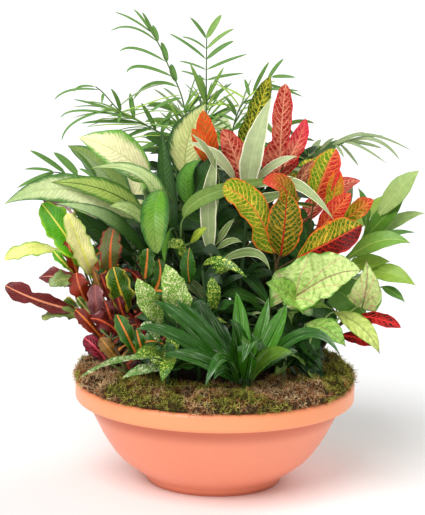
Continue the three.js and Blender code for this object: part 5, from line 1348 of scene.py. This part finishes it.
def startFrond(root, path):  # a growth with its stalk and rib, and their curve
    growth, curve = Growth(), stemCurve(root, path, palmRules["steps"])
    growth.tube([(*root, z) for z in palmRules["foot"]], palmRules["radius"], "palmStalk", palmRules["sides"])
    growth.tube(curve, np.linspace(*palmRules["rib"], len(curve)), "palmStalk", palmRules["sides"])
    return growth, curve


for number, (node, frond) in enumerate(fronds.items()):
    growth, curve = startFrond(frond["root"], [sighted(*p) for p in frond["path"]])
    for i, (bx, bz, tx, tz, width, *bend) in enumerate(frond["leaflets"]):
        cx, cz = bend or ((bx + tx) / 2, (bz + tz) / 2 + palmRules["arch"])
        base = min(curve, key=lambda p: (sighted(bx, bz, p.y) - p).length)
        lean = palmRules["lean"][i % 2]
        look = "palmPale" if i in frond.get("pale", ()) else frond.get("look", "palmGreen")
        growLeaflet(growth, node, base, sighted(cx, cz, base.y + leafRules["crestShift"] * lean),
                    sighted(tx, tz, base.y + lean), width, look, seeds["fronds"] + number * seeds["stem"] + i)
    if node in palmFill:
        growFill(growth, curve, palmFill[node], "high", seeds["fineLeaflets"] + number)
    growFill(growth, curve, lowFill if node in palmFill else leftFill, "low", seeds["lowLeaflets"] + number)
    leafyPiece(growth, node, "palm")

for number, (node, frond) in enumerate(backFronds.items()):
    out = towards(math.radians(frond["bearing"]))
    side = Vector((-out.y, out.x, 0))
    foot, top = Vector((*frond["root"], soilTop)), Vector((*frond["lean"], frond["height"]))
    bowed = foot.lerp(top, backLeaflet["bowAt"]) - out * backLeaflet["bow"]
    growth, curve = startFrond(frond["root"], [bowed, top])
    for i in range(frond["pairs"]):
        share = i / (frond["pairs"] - 1)
        base = curve[round(mixed(backLeaflet["along"], share) * (len(curve) - 1))]
        look, seed = "palmGreen" if i % 2 else "palmPale", seeds["backFronds"] + number * seeds["stem"] + i
        for hand in (-1, 1):
            leaned = base + side * hand * mixed(backLeaflet["reach"], share) + out * (backLeaflet["out"] + i)
            crest = base.lerp(leaned, 0.5) + raised(backLeaflet["arch"])
            growLeaflet(growth, node, base, crest, leaned + raised(backLeaflet["rise"]), backLeaflet["width"],
                        look, seed)
    growFill(growth, curve, lowFill, "low", seeds["backLeaflets"] + number)
    leafyPiece(growth, node, "palm")
print("palm fronds", len(fronds) + len(backFronds))


# Bowl: turned from the same outline as its solid, with rounder corners, as radius and height in millimetres

bowlOutline = [
    (0, 2.2), (72, 2.2), (76, 1.2), (78, 0), (85, 0), (86.2, 1.5), (87, 4.5), (89, 9), (93.5, 12.6), (99, 16),
    (110, 24.2), (121, 33), (129.6, 43), (137, 54), (143.6, 65), (149, 76), (153.4, 84.3), (157, 92),
    (158.6, 99.5), (159.4, 106.2), (160.6, 107), (174, 107), (176.4, 107.8), (177.7, 109.6), (178, 112),
    (178, 123.5), (177.4, 126.4), (175.8, 128.8), (173.2, 129.8), (170, 130), (167.4, 129.6), (165.4, 127.8),
    (164, 124), (160.4, 115), (157.4, 107), (155, 98), (148, 83), (136, 60), (112, 32), (96, 17), (82, 6),
    (0, 6),
]
bowlFinish = {  # heights in metres, where a colour begins and where it is full
    "steps": 144, "sharpest": 50, "body": (246, 150, 117), "rim": (255, 161, 112), "lip": (240, 138, 92),
    "shadow": (206, 112, 84), "band": (0.104, 0.107), "tucked": (0.081, 0.1), "foot": (0.001, 0.007),
    "lipAt": (0.1255, 0.129), "shadowShare": 0.8, "lipShare": 0.5, "rough": 0.36, "roughVaries": 0.14,
    "cloud": (14, 3), "cloudShare": 0.1, "grain": (900, 2), "relief": 0.08, "deep": 0.0004, "gloss": 0.45,
}


def lathe(name, outline, steps, sharpest):
    mesh = bpy.data.meshes.new(name)
    points = [(r * mm * math.cos(a), r * mm * math.sin(a), z * mm)
              for r, z in outline[1:-1] for a in (2 * math.pi * k / steps for k in range(steps))]
    points += [(0, 0, outline[0][1] * mm), (0, 0, outline[-1][1] * mm)]
    rows = len(outline) - 2
    last, middle = (rows - 1) * steps, rows * steps
    faces = [(row + k, row + (k + 1) % steps, row + steps + (k + 1) % steps, row + steps + k)
             for row in range(0, last, steps) for k in range(steps)]
    faces += [((k + 1) % steps, k, middle) for k in range(steps)]
    faces += [(last + k, last + (k + 1) % steps, middle + 1) for k in range(steps)]
    mesh.from_pydata(points, [], faces)
    return smoothPiece(name, mesh, sharpest)


def bowlPlastic(look):
    paint = Paint("bowlPlastic", Roughness=look["rough"], Specular_IOR_Level=look["gloss"])
    place = paint.objectPlace()
    height = paint.split(place)[2]
    band, lip, foot = (height.smooth(*look[name]) for name in ("band", "lipAt", "foot"))
    cloud = paint.noise(place, *look["cloud"])
    colour = paint.mix(band, rgb(*look["body"]), rgb(*look["rim"]))
    tucked = height.smooth(*look["tucked"]) * (1 - band)
    dark = (tucked + (1 - foot)).atMost(1)  # painted shade under the rim's overhang and at the foot
    colour = paint.mix(dark * look["shadowShare"], colour, rgb(*look["shadow"]))
    colour = paint.mix(lip * look["lipShare"], colour, rgb(*look["lip"]))
    paint.feed("Base Color", paint.shaded(colour, (cloud - 0.5) * look["cloudShare"] + 1))
    paint.feed("Roughness", (cloud - 0.5) * look["roughVaries"] + look["rough"])
    paint.bump(paint.noise(place, *look["grain"]), look["relief"], look["deep"])
    return paint.material


bowl = lathe("bowl_shell", bowlOutline, bowlFinish["steps"], bowlFinish["sharpest"])
bowl.data.materials.append(bowlPlastic(bowlFinish))
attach(bowl, "root")
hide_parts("bowl")
print("bowl")


# Moss: a lumpy mat with frizzy tufts, its section as radius and height in millimetres

mossOutline = [
    (105, 124.3), (133, 124.3), (161, 124.3), (161.6, 127), (162, 130.3), (167, 130.5), (171, 130.8),
    (174.5, 132.2), (176, 135), (175.6, 138), (174, 141.4), (171, 144), (166, 147), (160, 149), (152, 150),
    (143, 150), (134.5, 149.6), (126, 149), (118, 148), (110, 147.4), (102, 147), (94, 146.6), (87, 145.4),
    (83, 142.6), (85, 139), (98, 137.4), (102.6, 130),
]
mossForm = {  # lumps are sizes and heights; the others name points of the outline, counted from its first
    "steps": 260, "lumps": ((21, 7.0), (9, 3.4)), "hollow": (-37, -128), "hollowWide": 19, "hollowDeep": 17,
    "edgeSway": 0.55, "swell": 4.5, "free": range(7, 23), "swaying": range(7, 14), "rimPoints": range(10),
    "rimShare": 0.3, "overRim": range(12), "lowestOverRim": 131, "lowest": 126,
}
mossLook = {  # dry patches are x, y and reach in metres
    "rough": 0.92, "gloss": 0.2, "root": (52, 34, 18), "brown": (180, 112, 62), "tan": (255, 222, 170),
    "deepGreen": (98, 104, 34), "green": (216, 214, 96), "patch": (24, 3, 0.65), "fine": (330, 3, 0.7),
    "toneEnds": (0.1, 0.9), "toneShare": 0.14, "greenEnds": (0.455, 0.525), "dryShare": 0.13,
    "dryEnds": (0.1, 1), "dry": ((-0.175, -0.05, 0.085), (0.085, -0.115, 0.05), (-0.02, -0.16, 0.03)),
    "threadEnds": (-0.2, 0.6), "matEnds": (0.4, 0.9), "matShare": 0.3, "relief": 0.8, "deep": 0.002,
}


def mossHeight(k, x, y, z, bump, bearing):  # a lumpy top, lower in the hollow and never below the rim
    share = mossForm["rimShare"] if k in mossForm["rimPoints"] else 1
    height = z + share * (bump + mossForm["swell"] * math.sin(bearing))
    near = (Vector((x, y)) - Vector(mossForm["hollow"])).length / mossForm["hollowWide"]
    lowest = mossForm["lowestOverRim" if k in mossForm["overRim"] else "lowest"]
    return max(height - mossForm["hollowDeep"] * math.exp(-near ** 4), lowest)


def mossMat():
    steps, around = mossForm["steps"], len(mossOutline)
    points = []
    for step in range(steps):
        a = 2 * math.pi * step / steps
        for k, (r, z) in enumerate(mossOutline):
            spot = Vector((r * math.cos(a), r * math.sin(a), z))
            bump = sum(deep * noise.noise(spot / wide) for wide, deep in mossForm["lumps"])
            radius = r + (mossForm["edgeSway"] * bump if k in mossForm["swaying"] else 0)
            x, y = radius * math.cos(a), radius * math.sin(a)
            height = mossHeight(k, x, y, z, bump, a) if k in mossForm["free"] else z
            points.append((x * mm, y * mm, height * mm))
    faces = []
    for step in range(steps):
        for k in range(around):
            a, b = step * around + k, step * around + (k + 1) % around
            c, d = (step + 1) % steps * around + k, (step + 1) % steps * around + (k + 1) % around
            faces.append((a, c, d, b))
    mesh = bpy.data.meshes.new("moss_mat")
    mesh.from_pydata(points, [], faces)
    return smoothPiece("moss_mat", mesh)


def mossFinish(name, look, threaded):  # threads are dark at the root and each sprig has its own tone; the root colour is the moss's own brown with painted shade deep in the tufts
    paint = Paint(name, Roughness=look["rough"], Specular_IOR_Level=look["gloss"])
    place = paint.objectPlace()
    patch = paint.noise(place, *look["patch"])
    fine = paint.noise(place, *look["fine"])
    tone = Wire(paint, paint.attribute("tone", "Fac")) if threaded else fine
    pale = tone.smooth(*look["toneEnds"])
    tan = paint.mix(pale, rgb(*look["brown"]), rgb(*look["tan"]))
    green = paint.mix(pale, rgb(*look["deepGreen"]), rgb(*look["green"]))
    east, north = paint.split(place)[:2]
    for x, y, reach in look["dry"]:
        away = ((east - x) * (east - x) + (north - y) * (north - y)) / (reach * reach)
        patch = patch - (1 - away.smooth(*look["dryEnds"])) * look["dryShare"]
    patch = (patch + (tone - 0.5) * look["toneShare"]).smooth(*look["greenEnds"])
    # the dark root colour, at the threads' roots and over most of the mat, is partly painted shade
    if threaded:
        lit = Wire(paint, paint.attribute("tip", "Fac")).smooth(*look["threadEnds"])
    else:
        lit = fine.smooth(*look["matEnds"]) * look["matShare"]
        paint.bump(fine, look["relief"], look["deep"])
    paint.feed("Base Color", paint.mix(lit, rgb(*look["root"]), paint.mix(patch, tan, green)))
    return paint.material


sprigForm = {  # in millimetres; bends and tip are shares of a strand's reach, curl and height
    "strands": 5, "thick": 0.27, "reach": (2.0, 5.2), "high": (1.6, 5.0), "curl": (-1.8, 1.8),
    "turn": (-0.5, 0.5), "droop": (0.6, 1.1), "foot": 0.2, "bends": ((0.4, 0.4, 0.65), (0.8, 1, 1)),
    "tip": (1.25, 2.2, 1), "thins": (1, 0.9, 0.65), "slant": 0.6, "seed": 5,
}
sprigSizes = ("reach", "high", "curl", "droop")


def strandPoint(axes, sizes, shares):
    return sum((axis * size * share for axis, size, share in zip(axes, sizes, shares)), Vector())


def mossSprig():  # one tangled sprig of thin three-sided strands that curl outward
    mesh = bpy.data.meshes.new("moss_sprig")
    draw = random.Random(sprigForm["seed"])
    points, faces, tips = [], [], []
    up = raised(1)
    for k in range(sprigForm["strands"]):
        out = towards(2 * math.pi * k / sprigForm["strands"] + draw.uniform(*sprigForm["turn"]))
        side = Vector((-out.y, out.x, 0))
        axes = (out, side, up)
        reach, high, curl, droop = (draw.uniform(*sprigForm[size]) for size in sprigSizes)
        way = [strandPoint(axes, (reach, curl, high), shares) for shares in sprigForm["bends"]]
        way = [out * sprigForm["foot"] - up, *way]
        tip = strandPoint(axes, (reach, curl, high * droop), sprigForm["tip"])
        first = len(points)
        for share, (middle, thick) in enumerate(zip(way, sprigForm["thins"])):
            for corner in range(3):
                turn = 2 * math.pi * corner / 3
                rise = up - out * sprigForm["slant"] if share else -out
                ring = side * math.cos(turn) + rise * math.sin(turn)
                points.append(middle + ring * thick * sprigForm["thick"])
                tips.append(share / 3)
        points.append(tip)
        tips.append(1)
        faces.append((first, first + 1, first + 2))
        for row in (first, first + 3):
            faces += [(row + c, row + 3 + c, row + 3 + (c + 1) % 3, row + (c + 1) % 3) for c in range(3)]
        faces += [(first + 6 + c, first + 9, first + 6 + (c + 1) % 3) for c in range(3)]
    mesh.from_pydata([p * mm for p in points], [], faces)
    mesh.attributes.new("tip", "FLOAT", "POINT").data.foreach_set("value", tips)
    return bpy.data.objects.new("moss_sprig", mesh)


def socketId(tree, name):
    return next(item.identifier for item in tree.interface.items_tree if item.name == name)


tuftRules = {  # fixed seeds; turns in radians; clump is a noise that makes whole tufts larger or smaller
    "spotSeed": 3, "turnSeed": 5, "sizeSeed": 8, "toneSeed": 13, "turns": ((-0.8, -0.8, 0), (0.8, 0.8, 6.28)),
    "clumpScale": 90.0, "clumpDetail": 1.0, "clumpLeast": 0.5,
}


def tuftTree(sprig, material):
    tree = bpy.data.node_groups.new("mossTufts", "GeometryNodeTree")
    tree.interface.new_socket("Geometry", in_out="INPUT", socket_type="NodeSocketGeometry")
    for name in ("Sprigs per square metre", "Smallest", "Largest", "Lowest normal", "East", "North"):
        tree.interface.new_socket(name, in_out="INPUT", socket_type="NodeSocketFloat")
    tree.interface.new_socket("Geometry", in_out="OUTPUT", socket_type="NodeSocketGeometry")

    def node(kind, settings=None, values=None):
        return addNode(tree, kind, settings, values)

    def maths(operation, first, second):
        return node("ShaderNodeMath", {"operation": operation}, {0: first, 1: second}).outputs[0]

    given = node("NodeGroupInput").outputs
    place = node("GeometryNodeInputPosition").outputs[0]
    up = node("ShaderNodeSeparateXYZ", None, {0: node("GeometryNodeInputNormal").outputs[0]}).outputs[2]
    eastward, northward = node("ShaderNodeSeparateXYZ", None, {0: place}).outputs[0:2]
    chosen = maths("GREATER_THAN", up, given["Lowest normal"])
    for distance, side in ((eastward, given["East"]), (northward, given["North"])):
        chosen = maths("MULTIPLY", chosen, maths("GREATER_THAN", maths("MULTIPLY", distance, side), 0.0))
    spots = node("GeometryNodeDistributePointsOnFaces", None,
                 {"Mesh": given["Geometry"], "Selection": chosen, "Density": given["Sprigs per square metre"],
                  "Seed": tuftRules["spotSeed"]})
    leastTurn, mostTurn = tuftRules["turns"]
    turn = node("FunctionNodeRandomValue", {"data_type": "FLOAT_VECTOR"},
                {0: leastTurn, 1: mostTurn, "Seed": tuftRules["turnSeed"]}).outputs[0]
    size = node("FunctionNodeRandomValue", {"data_type": "FLOAT"},
                {2: given["Smallest"], 3: given["Largest"], "Seed": tuftRules["sizeSeed"]}).outputs[1]
    clump = node("ShaderNodeTexNoise", None, {"Vector": place, "Scale": tuftRules["clumpScale"],
                                              "Detail": tuftRules["clumpDetail"]}).outputs[0]
    size = maths("MULTIPLY", size, maths("ADD", clump, tuftRules["clumpLeast"]))
    turned = node("FunctionNodeRotateEuler", {"rotation_type": "EULER", "space": "LOCAL"},
                  {"Rotation": spots.outputs["Rotation"], "Rotate By": turn}).outputs[0]
    sprigs = node("GeometryNodeObjectInfo", None, {"Object": sprig})
    planted = node("GeometryNodeInstanceOnPoints", None,
                   {"Points": spots.outputs["Points"], "Instance": sprigs.outputs["Geometry"],
                    "Rotation": turned, "Scale": size}).outputs[0]
    tone = node("FunctionNodeRandomValue", {"data_type": "FLOAT"},
                {2: 0.0, 3: 1.0, "Seed": tuftRules["toneSeed"]}).outputs[1]
    toned = node("GeometryNodeStoreNamedAttribute", {"data_type": "FLOAT", "domain": "INSTANCE"},
                 {"Geometry": planted, "Name": "tone", "Value": tone}).outputs[0]
    real = node("GeometryNodeRealizeInstances", None, {0: toned}).outputs[0]
    dressed = node("GeometryNodeSetMaterial", None, {"Geometry": real, "Material": material}).outputs[0]
    node("NodeGroupOutput", None, {0: dressed})
    return tree


tuftSettings = {"Smallest": 0.6, "Largest": 1.3, "Lowest normal": -0.75}
tuftQuarters = {  # each piece dresses a quarter of the mat, more densely in front
    "moss_tufts_front_west": {"East": -1.0, "North": -1.0, "Sprigs per square metre": 72000.0},
    "moss_tufts_front_east": {"East": 1.0, "North": -1.0, "Sprigs per square metre": 72000.0},
    "moss_tufts_back_west": {"East": -1.0, "North": 1.0, "Sprigs per square metre": 38000.0},
    "moss_tufts_back_east": {"East": 1.0, "North": 1.0, "Sprigs per square metre": 38000.0},
}


def mossTufts(moss):  # four plain meshes, from one tree on a carrier that is then taken away
    sprig = mossSprig()
    carrier = bpy.data.objects.new("tuft_carrier", moss.data)
    bpy.context.scene.collection.objects.link(carrier)
    tree = tuftTree(sprig, mossFinish("mossTufts", mossLook, True))
    modifier = carrier.modifiers.new("tufts", "NODES")
    modifier.node_group = tree
    tufts = []
    for name, quarter in tuftQuarters.items():
        for inputName, amount in (tuftSettings | quarter).items():
            modifier[socketId(tree, inputName)] = amount
        carrier.update_tag()
        bpy.context.view_layer.update()
        mesh = bpy.data.meshes.new_from_object(carrier.evaluated_get(bpy.context.evaluated_depsgraph_get()))
        mesh.name = name
        tufts.append(bpy.data.objects.new(name, mesh))
    carrier.modifiers.remove(modifier)
    bpy.data.objects.remove(carrier)
    bpy.data.objects.remove(sprig)
    return tufts


moss = mossMat()
moss.data.materials.append(mossFinish("mossMat", mossLook, False))
tufts = mossTufts(moss)
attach(moss, "root")
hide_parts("moss")
for tuft in tufts:
    bpy.context.scene.collection.objects.link(tuft)
    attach(tuft, "root")
    print(tuft.name, "faces", len(tuft.data.polygons))


# Soil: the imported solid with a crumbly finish

soilLook = {
    "rough": 0.96, "gloss": 0.15, "crumbs": 260, "bits": 120, "bitEnds": (0.05, 0.16), "bit": (150, 136, 116),
    "cloud": (120, 4, 0.7), "cloudEnds": (0.3, 0.7), "dark": (22, 15, 10), "brown": (62, 44, 30),
    "relief": 0.9, "deep": 0.002,
}


def soilFinish(look):
    paint = Paint("soilMix", Roughness=look["rough"], Specular_IOR_Level=look["gloss"])
    place = paint.objectPlace()
    cloud = paint.noise(place, *look["cloud"]).smooth(*look["cloudEnds"])
    colour = paint.mix(cloud, rgb(*look["dark"]), rgb(*look["brown"]))
    bits = paint.cells(place, look["bits"]).smooth(*look["bitEnds"])
    paint.feed("Base Color", paint.mix(bits, rgb(*look["bit"]), colour))
    paint.bump(paint.cells(place, look["crumbs"]), look["relief"], look["deep"])
    return paint.material


soilMaterial = soilFinish(soilLook)
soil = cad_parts["soil"]
for materialSlot in soil.material_slots:
    materialSlot.material = soilMaterial
print("soil")


# Floor

floorForm = {"half": 40, "colour": (252, 252, 252), "rough": 0.8, "gloss": 0.1}  # half its width in metres

floorMesh = bpy.data.meshes.new("floor")
corners = [(x * floorForm["half"], y * floorForm["half"], 0) for x, y in ((-1, -1), (1, -1), (1, 1), (-1, 1))]
floorMesh.from_pydata(corners, [], [(0, 1, 2, 3)])
floorPaint = Paint("paleFloor", Roughness=floorForm["rough"], Specular_IOR_Level=floorForm["gloss"])
floorPaint.shader.inputs["Base Color"].default_value = rgb(*floorForm["colour"])
floorMesh.materials.append(floorPaint.material)
floor = bpy.data.objects.new("floor", floorMesh)
bpy.context.scene.collection.objects.link(floor)
print("floor")
